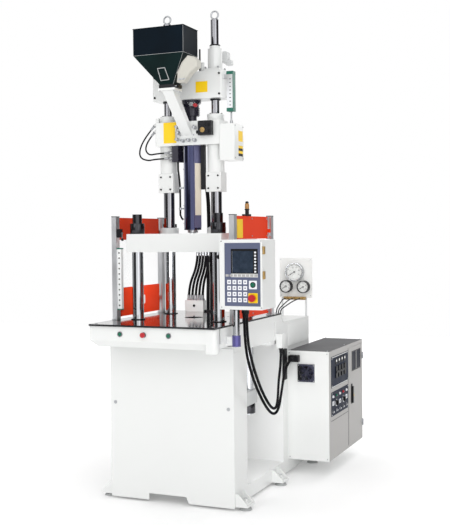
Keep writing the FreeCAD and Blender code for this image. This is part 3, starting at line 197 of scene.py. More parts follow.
def surface(name, colour, rough, uneven, grain=700.0, relief=0.05, metal=0.0, patch=5.0, stretch=(1, 1, 1),
            spread=0.06, coat=0.0, alpha=1.0, shine=0.5):
    """A finish with patchy colour, uneven gloss and a fine relief; stretch draws the grain out into strokes."""
    n = Nodes(bpy.data.materials.new(name))
    patches = n.noise(patch, detail=4.0)
    strokes = n.noise(grain, stretch)
    tone = n.mix(n.ramp(patches, 0, 1), shade(colour, 1 - uneven), shade(colour, 1 + uneven * 0.4))
    tone = n.mix(n.ramp(strokes, 0, uneven), tone, shade(colour, 0.55))
    gloss = n.ramp(patches, rough - spread / 2, rough + spread)
    n.set(Base_Color=tone, Roughness=gloss, Metallic=metal, Alpha=alpha, Specular_IOR_Level=shine)
    if coat:
        n.set(Coat_Weight=coat, Coat_Roughness=0.08)
    n.bump(strokes, relief)
    return n.owner


white = surface("white paint", (0.77, 0.78, 0.77), 0.3, 0.008, 900, 0.03, patch=1.5, spread=0.01, coat=0.3)
# A paler copy of the white paint for parts in shade: painted light that lifts the shade they stand in.
shade_brightened_white = surface("inner white paint brightened against shade", (0.84, 0.845, 0.84), 0.5, 0.015, 900, 0.03, patch=2, spread=0.02)
grey = surface("grey paint", (0.42, 0.43, 0.43), 0.45, 0.05, 800)
pale_grey = surface("pale grey paint", (0.62, 0.63, 0.63), 0.4, 0.03, 800)
roof_grey = surface("cabinet roof paint", (0.11, 0.11, 0.115), 0.55, 0.1, 800, patch=6, shine=0.15)
# Grey standing in for the shade on the cabinet's right side and its door (painted shade); also the plain grey
# of a row of keys.
grey_and_side_shade = surface("cabinet side painted shade", (0.43, 0.42, 0.41), 0.45, 0.02, 900, 0.04, patch=2, spread=0.01,
                    shine=0.3)
cream = surface("cream paint", (0.80, 0.72, 0.60), 0.5, 0.05, 500)
putty = surface("spout paint", (0.56, 0.545, 0.49), 0.5, 0.05, 500)
table_black = surface("table lacquer", (0.012, 0.013, 0.016), 0.1, 0.3, 400, 0.01, patch=3, spread=0.03,
                      coat=0.6)
chrome = surface("hard chrome", (0.46, 0.47, 0.49), 0.07, 0.04, 60, 0.015, metal=1.0, stretch=(0.3, 0.3, 30),
                 spread=0.03)
dark_chrome = surface("black chrome", (0.30, 0.30, 0.32), 0.1, 0.08, 60, 0.02, metal=1.0,
                      stretch=(0.3, 0.3, 30), spread=0.04)
nut_black = surface("blackened nut", (0.05, 0.05, 0.055), 0.18, 0.1, 60, 0.02, metal=0.9,
                    stretch=(0.3, 0.3, 30), spread=0.04)
steel = surface("machined steel", (0.50, 0.51, 0.53), 0.3, 0.1, 45, metal=1.0, stretch=(1, 1, 30))
ground = surface("ground plate", (0.56, 0.57, 0.58), 0.35, 0.1, 60, 0.04, metal=1.0, stretch=(1, 25, 25))
oxide = surface("black oxide", (0.014, 0.014, 0.017), 0.36, 0.25, 500, 0.08, metal=0.3, shine=0.3)
motor_black = surface("motor enamel", (0.022, 0.02, 0.036), 0.25, 0.2, 500, 0.06, metal=0.2)
plastic = surface("black plastic", (0.007, 0.007, 0.009), 0.42, 0.2, 1200, 0.12, shine=0.2)
rubber = surface("hose rubber", (0.005, 0.005, 0.007), 0.45, 0.25, 260, 0.2, stretch=(1, 1, 2.5), shine=0.12)
red = surface("guard red", (0.74, 0.042, 0.006), 0.45, 0.04, 900, 0.03, patch=2, spread=0.01, shine=0.1)
alloy = surface("drawn aluminium", (0.70, 0.71, 0.73), 0.32, 0.05, 70, metal=1.0, stretch=(12, 12, 0.4))
hopper_blue = surface("hopper paint", (0.003, 0.008, 0.014), 0.4, 0.3, relief=0.04, shine=0.05)
hopper_green = surface("hopper cone paint", (0.003, 0.014, 0.014), 0.4, 0.3, relief=0.04, shine=0.08)
button_green = surface("green button", (0.003, 0.13, 0.07), 0.28, 0.08, 900, 0.03, coat=0.3)
button_red = surface("red button", (0.48, 0.01, 0.018), 0.28, 0.08, 900, 0.03, coat=0.3)
cap_green = surface("dark green cap", (0.0, 0.13, 0.085), 0.35, 0.1, 900)
yellow = surface("yellow plate", (0.93, 0.60, 0.0), 0.4, 0.04, 800, 0.03)
amber = surface("amber lens", (0.42, 0.19, 0.03), 0.2, 0.1, 600, 0.03, coat=0.6)
panel_blue = surface("panel blue-grey", (0.09, 0.105, 0.18), 0.45, 0.04, 900)
navy = surface("navy panel", (0.012, 0.018, 0.04), 0.5, 0.15, relief=0.04, patch=12, shine=0.12)
navy_polish = surface("navy polished steel", (0.06, 0.065, 0.13), 0.14, 0.12, 50, 0.03, metal=0.9,
                      stretch=(0.4, 0.4, 25))
strip_blue = surface("strip lilac", (0.19, 0.19, 0.34), 0.35, 0.1, 60, 0.03, metal=0.5, stretch=(1, 1, 20))
brass = surface("brass", (0.45, 0.30, 0.12), 0.35, 0.12, 300, 0.06, metal=0.9)
sleeve_blue = surface("anodised sleeve", (0.13, 0.12, 0.34), 0.25, 0.1, 300, 0.03, metal=0.7)
screen_glass = surface("screen glass", (0.022, 0.036, 0.06), 0.2, 0.3, 200, 0.0, patch=30, coat=0.5)
key_white = surface("key caps", (0.80, 0.81, 0.84), 0.4, 0.02, 900, 0.04)
clear = surface("clear window", (0.8, 0.84, 0.84), 0.05, 0.03, relief=0.0, alpha=0.05)
smoked = surface("smoked window", (0.008, 0.012, 0.026), 0.4, 0.2, relief=0.0, shine=0.08)
dial_white = surface("dial white", (0.85, 0.85, 0.83), 0.5, 0.02, relief=0.02)
fan_blue = surface("fan enamel", (0.02, 0.022, 0.055), 0.35, 0.2, 600, 0.06)


def floor_finish():
    """White studio floor that glows more with distance: painted light that softens the shadows near the machine
    and fades into the white surround.
    """
    n = Nodes(bpy.data.materials.new("studio floor"))
    reach = n.add("VectorMath", {0: n.place}, operation="LENGTH").outputs["Value"]
    # The emission grows from 0.12 near the machine to 0.42 far off: a painted glow.
    n.set(Base_Color=n.mix(n.noise(3.0), (0.86, 0.86, 0.86, 1), (0.88, 0.88, 0.88, 1)), Roughness=0.7,
          Emission_Strength=n.ramp(reach, 0.12, 0.42, 0.8, 3.4), Emission_Color=(1, 1, 1, 1))
    return n.owner


# ---------------------------------------------------------------- painting CAD nodes
def paint(node, default, *rules):
    """Gives a CAD node its finishes: the first rule whose test of a face's middle and normal holds wins."""
    mesh = frame["nodes"][node].data
    mesh.materials.clear()
    mesh.materials.append(default)
    for _, material in rules:
        mesh.materials.append(material)
    for polygon in mesh.polygons:
        middle = 1000 * (polygon.center - origin)
        polygon.material_index = 0
        for index, (test, _) in enumerate(rules):
            if test(middle, polygon.normal):
                polygon.material_index = index + 1
                break


def round_edges(item, width, angle):
    """Bevels the edges of an object that are sharper than an angle in degrees; width is in mm."""
    bevel = item.modifiers.new("bevel", "BEVEL")
    bevel.width, bevel.segments = width / 1000, 2
    bevel.limit_method, bevel.angle_limit = "ANGLE", radians(angle)
    bevel.use_clamp_overlap = True
    return bevel


def soften(node, width):
    """Breaks a CAD node's sharp edges with modifiers."""
    item = frame["nodes"][node]
    item.modifiers.new("weld", "WELD").merge_threshold = 0.00001
    round_edges(item, width, node_edge_angle).harden_normals = True


# ---------------------------------------------------------------- building new pieces
def spoke(centre, rotation, radius, angle, along):
    """A point at a radius and an angle round an axis, some way along it."""
    return Vector(centre) + rotation @ Vector((radius * cos(angle), radius * sin(angle), along))


def around(count):
    """Angles that go once round in equal steps."""
    return [2 * pi * k / count for k in range(count)]


def turned_to(axis):
    """The rotation that turns +Z to an axis."""
    return Vector((0, 0, 1)).rotation_difference(Vector(axis)).to_matrix()


class Piece:
    """One piece gathered from several closed forms, each with its own finish, in machine millimetres."""

    def __init__(self, name):
        self.name, self.mesh, self.finishes = name, bmesh.new(), []

    def slot(self, material):
        if material not in self.finishes:
            self.finishes.append(material)
        return self.finishes.index(material)

    def faces(self, rings, material, caps=True, smooth=True):
        """Skins a list of closed rings of points; each ring has the same number of points."""
        index = self.slot(material)
        loops = [[self.mesh.verts.new(p) for p in ring] for ring in rings]
        count = len(loops[0])
        for a, b in zip(loops, loops[1:]):
            for k in range(count):
                face = self.mesh.faces.new((a[k], a[(k + 1) % count], b[(k + 1) % count], b[k]))
                face.material_index, face.smooth = index, smooth
        if caps:
            for loop in (loops[0][::-1], loops[-1]):
                face = self.mesh.faces.new(loop)
                face.material_index, face.smooth = index, False

    def box(self, x0, x1, y0, y1, z0, z1, material, turn=None, about=None):
        """A block, turned by a rotation matrix about a point when both are given."""
        rings = [[Vector(p) for p in ((x0, y0, z), (x1, y0, z), (x1, y1, z), (x0, y1, z))] for z in (z0, z1)]
        if turn:
            centre = Vector(about)
            rings = [[centre + turn @ (p - centre) for p in ring] for ring in rings]
        self.faces(rings, material, smooth=False)

    def lathe(self, start, axis, profile, material, sides=32, caps=True):
        """Turns a profile of (radius, distance along the axis) round an axis that begins at start."""
        rotation = turned_to(axis)
        rings = [[spoke(start, rotation, max(radius, 0.01), a, along) for a in around(sides)]
                 for radius, along in profile]
        self.faces(rings, material, caps=caps)

    def prism(self, outline, push, material):
        """Pushes a flat outline of points along a vector."""
        points = [Vector(p) for p in outline]
        self.faces([points, [p + Vector(push) for p in points]], material, smooth=False)

    def hexagon(self, centre, axis, across, height, material):
        rotation = turned_to(axis)
        r = across / sqrt(3)
        rings = [[spoke(centre, rotation, radius, pi / 3 * k, along) for k in range(6)]
                 for along, radius in ((0, r), (height * 0.85, r), (height, r * 0.9))]
        self.faces(rings, material, smooth=False)

    def cap_screw(self, centre, axis, r, material, height=None):
        """A socket head screw with its hexagon recess."""
        h = height or r * 1.1
        self.lathe(centre, axis, [(r, 0), (r, h * 0.82), (r * 0.9, h)], material, sides=24, caps=False)
        rotation = turned_to(axis)
        rings = []
        for radius, along, six in ((r * 0.9, h, False), (r * 0.55, h, True), (r * 0.5, h * 0.35, True)):
            ring = []
            for angle in around(24):
                flat = cos(pi / 6) / cos((angle % (pi / 3)) - pi / 6) if six else 1.0
                ring.append(spoke(centre, rotation, radius * flat, angle, along))
            rings.append(ring)
        self.faces(rings, material, caps=False, smooth=False)
        back = [spoke(centre, rotation, r, angle, 0) for angle in around(24)]
        for loop in (rings[-1], back[::-1]):
            face = self.mesh.faces.new([self.mesh.verts.new(p) for p in loop])
            face.material_index = self.slot(material)

    def torus(self, centre, axis, ring, wire, material, sides=64, wire_sides=10):
        rotation = turned_to(axis)
        loops = []
        for k in range(sides + 1):
            a = 2 * pi * k / sides
            loops.append([spoke(centre, rotation, ring + wire * cos(b), a, wire * sin(b))
                          for b in around(wire_sides)])
        self.faces(loops, material, caps=False)

    def sweep(self, points, radius, material, sides=16):
        """A tube along a line of points; radius is a number or a function of the distance along it."""
        rings, travelled = [], 0.0
        side = None
        for k, point in enumerate(points):
            ahead = points[min(k + 1, len(points) - 1)] - points[max(k - 1, 0)]
            ahead.normalize()
            if side is None:
                side = ahead.orthogonal().normalized()
            side = (side - ahead * side.dot(ahead)).normalized()
            other = ahead.cross(side)
            travelled += (point - points[k - 1]).length if k else 0
            r = radius(travelled) if callable(radius) else radius
            rings.append([point + side * (r * cos(a)) + other * (r * sin(a)) for a in around(sides)])
        self.faces(rings, material)

    def bar(self, start, end, radius, material):
        """A straight thin bar between two points."""
        a, b = Vector(start), Vector(end)
        self.sweep([a, a.lerp(b, 0.5), b], radius, material, 8)

    def make(self, body=None, replaces=(), bevel=0.4):
        """Turns the gathered forms into an object in the frame, on a body."""
        bmesh.ops.remove_doubles(self.mesh, verts=self.mesh.verts, dist=0.001)
        bmesh.ops.recalc_face_normals(self.mesh, faces=self.mesh.faces)
        for vertex in self.mesh.verts:
            vertex.co = at(*vertex.co)
        data = bpy.data.meshes.new(self.name)
        self.mesh.to_mesh(data)
        self.mesh.free()
        for material in self.finishes:
            data.materials.append(material)
        data.set_sharp_from_angle(angle=radians(piece_edge_angle))
        item = bpy.data.objects.new(self.name, data)
        scene.collection.objects.link(item)
        if bevel:
            round_edges(item, bevel, piece_edge_angle)
        if body:
            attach(item, body)
        if replaces:
            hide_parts(*replaces)
        return item


# ---------------------------------------------------------------- hoses and conduits
def mesh_of(curve):
    """The mesh that Blender makes of a curve, which is then removed."""
    carrier = bpy.data.objects.new("carrier", curve)
    scene.collection.objects.link(carrier)
    mesh = bpy.data.meshes.new_from_object(carrier)
    bpy.data.objects.remove(carrier)
    bpy.data.curves.remove(curve)
    return mesh


def read_route(route):
    """The smooth line of a route: points read from the NURBS spline that the route's points control."""
    curve = bpy.data.curves.new("route", "CURVE")
    curve.dimensions = "3D"
    spline = curve.splines.new("NURBS")
    spline.points.add(len(route) - 1)
    for point, place in zip(spline.points, route):
        point.co = (*place, 1)
    spline.order_u = 3
    spline.use_endpoint_u = True
    spline.resolution_u = 32
    line = mesh_of(curve)
    points = [v.co.copy() for v in line.vertices]
    bpy.data.meshes.remove(line)
    return points


def spaced(points, step):
    """The same line with its points a step apart."""
    out, spare = [points[0]], 0.0
    for a, b in zip(points, points[1:]):
        length = (b - a).length
        while spare + length >= step:
            a = a + (b - a) * ((step - spare) / length)
            length = (b - a).length
            out.append(a)
            spare = 0.0
        spare += length
    if (out[-1] - points[-1]).length > step * 0.5:
        out.append(points[-1])
    else:
        out[-1] = points[-1]
    return out


def cord(name, node, route_mm, radius_mm, body=None, blend=None, ribs=None, step=None):
    """A free hose along its route; blend is (fixed body, moving body, start, end), but only whether it is given
    is read: such a hose is left in the frame on no body; ribs are (pitch, depth).
    """
    route = [at(*p) for p in route_mm]
    line = read_route(route)
    fine = spaced([Vector(1000 * (p - origin)) for p in line], step or (ribs[0] / 4 if ribs else radius_mm))
    piece = Piece(name)
    if ribs:
        pitch, depth = ribs
        piece.sweep(fine, lambda s: radius_mm - depth * (0.5 - 0.5 * cos(2 * pi * s / pitch)),
                    rubber, 14)
    else:
        piece.sweep(fine, radius_mm, rubber, 16)
    item = piece.make(None, [node], bevel=0)
    if blend:
        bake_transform(item)
    else:
        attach(item, body)


def hose_end(name, place, along, r, body, finish=None):
    """A crimped ferrule and its nut where a hose of radius r meets a fitting."""
    piece = Piece(name)
    direction = Vector(along).normalized()
    start = Vector(place)
    piece.hexagon(start, direction, 2 * r + 9, 0.9 * r + 4, finish or steel)
    profile, s = [(r + 1.0, 0.9 * r + 4)], 0.9 * r + 5
    for k in range(4):
        profile += [(r + 2.4, s), (r + 2.4, s + 3.4), (r + 1.5, s + 4.2), (r + 1.5, s + 5.0)]
        s += 5.6
    profile += [(r + 2.0, s), (r + 0.5, s + 2.5)]
    piece.lathe(start, direction, profile, finish or steel, sides=28)
    return piece.make(body, bevel=0.3)


def relief(name, place, along, r, body):
    """A tapered, ringed strain relief with its cap nut."""
    length = 34
    piece = Piece(name)
    piece.lathe(place, along, [(r + 5.5, 0), (r + 5.5, 9), (r + 4.6, 11), (r + 4, 13)], plastic, sides=12)
    profile, s = [], 12.0
    while s < length:
        wide = r + 3.6 - 2.6 * s / length
        profile += [(wide, s), (wide, s + 1.8), (wide - 0.9, s + 2.3), (wide - 0.9, s + 3.3)]
        s += 3.8
    piece.lathe(place, along, profile, plastic, sides=24)
    return piece.make(body, bevel=0.2)


def lay_cords():
    conduits = (
        ("conduit_cabinet", [
            (455, -20, 1094), (455, -20, 930), (452, 66, 762), (449, 228, 588), (445, 405, 460),
            (443, 530, 456), (439, 604, 575), (435, 657, 662), (431, 755, 731), (431, 830, 731)]),
        ("conduit_beam", [
            (483, -52, 1094), (483, -52, 950), (480, 38, 790), (472, 178, 640), (456, 360, 514),
            (446, 478, 480), (434, 548, 522), (420, 598, 620), (400, 700, 730), (400, 700, 815)]))
    for name, route in conduits:
        ends = [relief(name + "_top", route[0], DOWN, 8, "control_arm"),
                relief(name + "_end", route[-1], Vector(route[-2]) - Vector(route[-1]), 8, "base")]
        cord(name, "control_conduits", route, 8.0, ribs=(4.0, 1.1),
             blend=("base", "control_arm", (455, -20, 850), (455, -20, 1085)))
    for k, (x0, x1) in enumerate(((250, 330), (300, 342), (350, 354))):
        route = [(x0, 1240, 1078)]
        for j, (y, z) in enumerate(((1170, 1078), (1100, 1074), (1030, 1066), (958, 1056), (886, 1045))):
            route.append((x0 + (x1 - x0) * j / 5, y, z))
        route += [(x1, 815, 1031), (x1, 815, 963)]
        ends = [hose_end("gauge_end_%d" % k, route[0], FRONT, 3.6, "base", brass),
                hose_end("gauge_foot_%d" % k, route[-1], UP, 3.6, "base", brass)]
        cord("gauge_hose_%d" % k, "gauge_hoses", route, 3.6, body="base", step=4)
    for k in range(5):
        x0, x1 = -237 + 24 * k, -122 + 19 * k
        route = [(x0, 750, 1090), (x0, 750, 1180), (x1, 640, 1318), (x1, 640, 1408)]
        ends = [hose_end("platen_foot_%d" % k, route[0], UP, 8, "base"),
                hose_end("platen_head_%d" % k, route[-1], DOWN, 5.6, "platen")]
        cord("platen_hose_%d" % k, "platen_hoses", route, 8.0,
             blend=("base", "platen", route[1], (x1, 640, 1350)))
    for k, x in enumerate((-104, -79)):
        route = [(x, 750, 1030), (x, 750, 1128.3), (x, 758, 1219), (x, 750, 1309.7), (x, 750, 1408)]
        cord("supply_hose_%d" % k, "platen_hoses", route, 11.0,
             blend=("base", "platen", (x, 750, 1070), (x, 750, 1370)))
    route = [(-92, 750, 1438), (-92, 750, 1598), (-92, 740, 1748), (-92, 680, 1920), (-92, 540, 2060),
             (-92, 382, 2060)]
    ends = [hose_end("riser_foot", route[0], UP, 12, "platen"),
            hose_end("riser_head", route[-1], BACK, 12, "carriage")]
    cord("carriage_hose", "carriage_hoses", route, 12.0,
         blend=("platen", "carriage", (-92, 750, 1500), (-92, 400, 2060)))
    loops = (("loop_outer", [(-112, 248, 1948), (-202, 248, 1948), (-262, 262, 1940), (-322, 272, 1962),
                             (-330, 290, 2020), (-295, 311, 2095), (-240, 311, 2150)]),
             ("loop_inner", [(-112, 248, 1980), (-190, 248, 1980), (-255, 262, 1972), (-292, 282, 2012),
                             (-280, 311, 2072), (-240, 311, 2112)]))
    for name, route in loops:
        ends = [hose_end(name + "_foot", route[0], (-1, 0, 0), 4.5, "carriage"),
                hose_end(name + "_tip", route[-1], (-1, 0, -1), 4.5, "carriage")]
        cord(name, "injection_hoses", route, 4.5, body="carriage", step=4)


# ---------------------------------------------------------------- finishes of the CAD nodes
def near(x, z, r):
    return lambda m, n: (m.x - x) ** 2 + (m.z - z) ** 2 < r * r


def over(z):
    return lambda m, n: m.z > z


def right_of(x):
    return lambda m, n: m.x > x


def off_clamp(m):
    """Distance from the clamp axis."""
    return hypot(m.x, m.y - clamp_y)


def paint_base():
    # The bulkhead and insides of the base take the paler white, painted light against their shade.
    paint("base_frame", white, (lambda m, n: 780 < m.y < 792 and abs(m.x) < 376, shade_brightened_white),
          (lambda m, n: abs(m.x) < 376 and m.y > 8 and m.z > 97, shade_brightened_white))
    paint("front_panel", white, (lambda m, n: abs(abs(m.x) - 350) < 10.5 and abs(m.z - 555) < 10.5, steel))
    paint("levelling_feet", white, (lambda m, n: m.z < 12.4, grey), (over(48), steel))
    paint("rear_cover", white, (near(-130, 420, 33), steel))
    # The lower tank takes the paler white, painted light in the bay's shade.
    paint("tank_and_pump", grey, (lambda m, n: m.z < 471, shade_brightened_white), (right_of(88), oxide))
    paint("lower_platen", white, (over(975.1), ground))
    paint("table_plate", table_black, (over(1020.5), rubber))
    paint("console", white, *[(near(x, 969, 15.5), dark_chrome) for x in (-188, -44, 106)])
    paint("clamp_link", grey, (lambda m, n: off_clamp(m) < 85.5 and m.z > 580.5, chrome))
    paint("hose_fittings", oxide, (right_of(380), white), (right_of(300), brass),
          (lambda m, n: m.x < -124 and m.y > 721.5, white))


def paint_clamp():
    paint("tie_bars", chrome, (over(1571.5), nut_black))
    paint("upper_platen", white, (lambda m, n: n.z < -0.5 and m.z < 1409, ground))
    paint("guard_posts", alloy, (lambda m, n: abs(m.x) > 368 and m.y > 560 and m.y < 600, steel))
    for side in ("left", "right"):
        paint("guard_door_" + side, red,
              (lambda m, n: 361.5 < abs(m.x) < 365.5 and 1201.2 < m.z < 1477.8, clear),
              (lambda m, n: abs(m.x) < 361.9, white))
    # The switch body takes the paler white, painted light.
    paint("limit_switch", shade_brightened_white, (over(1480), plastic))
    paint("limit_lever", steel, (lambda m, n: m.z < 1490, plastic))


def paint_injection():
    def foot_collar(m, n):
        return m.z < 1546 and hypot(abs(m.x) - rod_x, m.y - clamp_y) > 32.5

    paint("carriage_rods", dark_chrome, (foot_collar, pale_grey))
    paint("injection_rods", dark_chrome, (over(2741), steel))
    paint("barrel", steel, (lambda m, n: off_clamp(m) > 36 and m.z > 1555, brass))
    strip = Vector((0.857, -0.515))
    paint("barrel_guard", navy_polish, (lambda m, n: strip.dot((m.x, m.y - clamp_y)) > 56.1, cream),
          (lambda m, n: strip.dot((m.x, m.y - clamp_y)) > 50.4, strip_blue))
    paint("carriage_manifold", oxide, (lambda m, n: m.x < -90.2, steel), (lambda m, n: m.x < -50, motor_black))
    paint("junction_box", white, (over(2131.5), steel))
    paint("injection_cylinders", white, (lambda m, n: m.z > 2453 and m.y > 359, pale_grey))

    def on_spout(m, n):
        up = (m.z - hopper_neck) / (hopper_knee - hopper_neck)
        cone_right = neck_right + (mouth_right - neck_right) * up
        beside = m.x > cone_right + 1.5 or m.y < cone_front(m.z) - 1.5
        return beside and 22 < m.x < 180 and 14 < m.y < 72 and 2330 < m.z < 2490

    paint("hopper", hopper_blue, (on_spout, putty), (lambda m, n: m.z < 2507 and m.y < 205, hopper_green))
    paint("feed_chute", white, (lambda m, n: m.z > 2326.5 and n.z < 0.9, oxide))
    paint("hopper_gate", steel, (right_of(19.5), plastic))


def paint_control():
    paint("pole_socket", white, (lambda m, n: hypot(m.x - 431, m.y + 72) < 23.5, sleeve_blue))
    paint("pole", chrome, (over(1103.9), oxide))
    paint("control_box", white, (right_of(619.2), brass), (lambda m, n: m.z < 1111.8, plastic))
    paint("control_face", white,
          (lambda m, n: m.y > -168.5 and 452 < m.x < 568 and 1306 < m.z < 1416, screen_glass),
          (near(567, 1242, 15.5), dark_chrome), (near(567, 1174, 15.5), dark_chrome))
    paint("emergency_stop", button_red, (lambda m, n: m.y > -181.5, plastic))


def paint_cabinet():
    def on_panel(m, n):
        return m.x > 650.5 and m.y < 1283 and (545 < m.z < 741 or 369 < m.z < 521)

    def on_window(m, n):
        return 598 < m.z < 718 and 1380 < m.y < 1582 and 646.5 < m.x < 650.2

    def before(y, test):
        return lambda m, n: m.y < y and test(m, n)

    # The cabinet's right side faces and its door take the grey of painted shade.
    paint("cabinet_shell", white, (lambda m, n: m.y < 869.8 and m.x < 470, plastic),
          (lambda m, n: m.y < 869.8 and m.x < 560, fan_blue), (lambda m, n: n.z > 0.5 and m.z > 777, roof_grey),
          (on_panel, navy), (right_of(650.5), steel), (right_of(649.5), grey_and_side_shade))
    paint("cabinet_door", grey_and_side_shade, (on_window, smoked), (lambda m, n: m.y > 1600 and m.x > 651.5, steel))
    dials = ((303, 1252, 54.8, 60.5, chrome), (242, 1156, 35.8, 41.5, oxide), (362, 1154, 35.8, 41.5, oxide))
    paint("gauge_panel", white, *[(before(1230.5, near(x, z, r + 0.3)), clear) for x, z, r, _, _ in dials],
          *[(near(x, z, r), dial_white) for x, z, r, _, _ in dials],
          *[(before(1266.5, near(x, z, rim)), finish) for x, z, _, rim, finish in dials],
          (lambda m, n: m.y < 1265.5 and m.z < 1090, brass), (lambda m, n: m.y > 1270.5, alloy))


def paint_plain():
    """The nodes that have one finish all over."""
    for finish, nodes in (
            (button_green, "start_button_left start_button_right cycle_button"), (button_red, "stop_button"),
            (grey, "clamp_cylinder"), (nut_black, "tie_bar_nuts"), (hopper_blue, "hopper_lid"),
            (white, "injection_carriage injection_crosshead"), (motor_black, "screw_motor"),
            (alloy, "screw_transducer"), (steel, "feed_screw"), (fan_blue, "fan_rotor"),
            (plastic, "door_handle breaker_lever selector_front selector_back needle_main needle_left "
                            "needle_right")):
        for node in nodes.split():
            paint(node, finish)


def soften_nodes():
    for width, nodes in (
            (0.6, "cabinet_door"), (0.8, "control_face feed_chute hopper_lid carriage_manifold"),
            (1.0, "front_panel rear_cover guard_posts"), (1.2, "junction_box control_box"),
            (1.5, "console lower_platen tie_bar_nuts"),
            (2.0, "upper_platen injection_carriage injection_cylinders"), (2.5, "injection_crosshead")):
        for node in nodes.split():
            soften(node, width)


# ---------------------------------------------------------------- fittings and trim
def screws(name, body, r, finish, spots):
    """Socket head screws at (x, y, z) with an outward axis each."""
    piece = Piece(name)
    for place, axis in spots:
        piece.cap_screw(place, axis, r, finish)
    return piece.make(body, bevel=0)


def grid(xs, ys, zs, axis):
    """Every place of a grid, each with the same outward axis."""
    return [((x, y, z), axis) for x in xs for y in ys for z in zs]


def circle(x, z, r, count, axis):
    """Places round a vertical axis at (x, clamp_y)."""
    turn = 2 * pi / count
    return [((x + r * cos(turn * k), clamp_y + r * sin(turn * k), z), axis) for k in range(count)]


def tag(name, body, corners, finish, bevel):
    """A piece that is one thin block."""
    piece = Piece(name)
    piece.box(*corners, finish)
    piece.make(body, bevel=bevel)


def washer(piece, x, z, half, r, y0, y1, finish):
    """A square plate, in the control face's plane, with a round hole."""
    sides = 32
    loops = []
    for hole, y in ((False, y0), (True, y0), (True, y1), (False, y1), (False, y0)):
        ring = []
        for k in range(sides):
            a = 2 * pi * (k + 0.5) / sides
            c, s = cos(a), sin(a)
            reach = r if hole else min(half / max(abs(c), 1e-6), half / max(abs(s), 1e-6))
            ring.append(Vector((x + reach * c, y, z + reach * s)))
        loops.append(ring)
    piece.faces(loops, finish, caps=False, smooth=False)


def trim_control():
    """The keypad panel round the screen and the two buttons."""
    y0, y1 = -171.4, -170.0
    overlay = Piece("control_overlay")
    for x0, x1, z0, z1 in ((409, 445, 1281, 1459), (445, 595, 1428, 1459), (595, 608, 1281, 1459),
                           (409, 541, 1131, 1281), (593, 608, 1131, 1281), (541, 593, 1131, 1148),
                           (541, 593, 1200, 1220), (541, 545, 1220, 1264), (589, 593, 1220, 1264),
                           (541, 593, 1264, 1281)):
        overlay.box(x0, x1, y0, y1, z0, z1, panel_blue)
    washer(overlay, 567, 1242, 22, 15.4, y0 - 0.4, y1, key_white)
    washer(overlay, 567, 1174, 26, 15.4, y0 - 0.4, y1, yellow)
    for x0, x1, z0, z1 in ((445, 451, 1300, 1428), (569, 595, 1300, 1428), (451, 569, 1300, 1304.2),
                           (451, 569, 1417.8, 1428)):
        overlay.box(x0, x1, y0 - 0.6, y1, z0, z1, plastic)
    overlay.make("control_arm", bevel=0)
    keys = Piece("control_keys")
    for column in range(4):
        for row in range(4):
            x, z = 424 + 30 * column, 1152 + 31 * row
            keys.box(x, x + 21, y0 - 2.2, y0, z, z + 22, key_white)
            keys.box(x + 6, x + 15, y0 - 2.5, y0 - 2.2, z + 8, z + 14, panel_blue)
    for row in range(7):
        keys.box(576, 586, y0 - 1.8, y0 - 0.6, 1306 + 16.5 * row, 1315 + 16.5 * row, key_white)
    for column in range(8):
        keys.box(415 + 23 * column, 432 + 23 * column, y0 - 1.4, y0, 1284, 1296, grey_and_side_shade)
    keys.make("control_arm", bevel=0.5)
    knob = Piece("control_lock")
    knob.lathe((379, -140, 1386), (-1, 0, 0), [(15, 0), (15, 4), (12, 6), (12, 20), (9, 24)], plastic)
    knob.make("control_arm")
    screws("control_screws", "control_arm", 3.2, steel, grid((391, 613), (-170,), (1124, 1468), FRONT))
    hinges = Piece("control_hinge_screws")
    for z in (1292, 1420):
        for dz in (-12, 12):
            hinges.cap_screw((625, -148, z + dz), RIGHT, 2.6, brass)
    hinges.make("control_arm", bevel=0)


def numerals(piece, text, x, y, z, size, finish):
    """Adds a raised number facing the front."""
    curve = bpy.data.curves.new("number", "FONT")
    curve.body, curve.size, curve.extrude = text, size, 0.2
    curve.align_x, curve.align_y = "CENTER", "CENTER"
    shape = mesh_of(curve)
    index = piece.slot(finish)
    verts = [piece.mesh.verts.new((x + v.co.x, y - v.co.z, z + v.co.y)) for v in shape.vertices]
    for polygon in shape.polygons:
        piece.mesh.faces.new([verts[k] for k in polygon.vertices]).material_index = index
    bpy.data.meshes.remove(shape)


def trim_gauges():
    face = 1240.0
    for name, x, z, r, top, steps in (("main", 303, 1252, 55, 25, 5), ("left", 242, 1156, 36, 16, 4),
                                      ("right", 362, 1154, 36, 16, 4)):
        dial = Piece("dial_" + name)
        count = steps * 5
        for k in range(count + 1):
            a = radians(-120 + 240 * k / count)
            long = k % 5 == 0
            inner, outer = r * (0.76 if long else 0.83), r * 0.93
            wide = r * (0.02 if long else 0.011)
            out, across = Vector((sin(a), 0, cos(a))), Vector((cos(a), 0, -sin(a)))
            middle = Vector((x, face - 0.5, z))
            outline = [middle + out * inner - across * wide, middle + out * inner + across * wide,
                       middle + out * outer + across * wide, middle + out * outer - across * wide]
            dial.prism(outline, (0, 0.5, 0), plastic)
            if long:
                spot = middle + out * r * 0.58
                numerals(dial, str(k // 5 * top // steps), spot.x, face - 0.3, spot.z, r * 0.21, plastic)
        red_arc = [radians(50 + 70 * k / 12) for k in range(13)]
        arc = [Vector((x + r * 0.95 * sin(a), face - 0.4, z + r * 0.95 * cos(a))) for a in red_arc]
        dial.sweep(arc, r * 0.018, button_red, sides=8)
        dial.make("base", bevel=0)
        rim = Piece("bezel_" + name)
        rim.torus((x, 1228.4, z), BACK, r + 2.2, 2.4, chrome if name == "main" else oxide)
        rim.make("base", bevel=0)
    screws("gauge_plate_screws", "base", 3.2, steel, grid((200, 406), (1266,), (1096, 1333), FRONT))


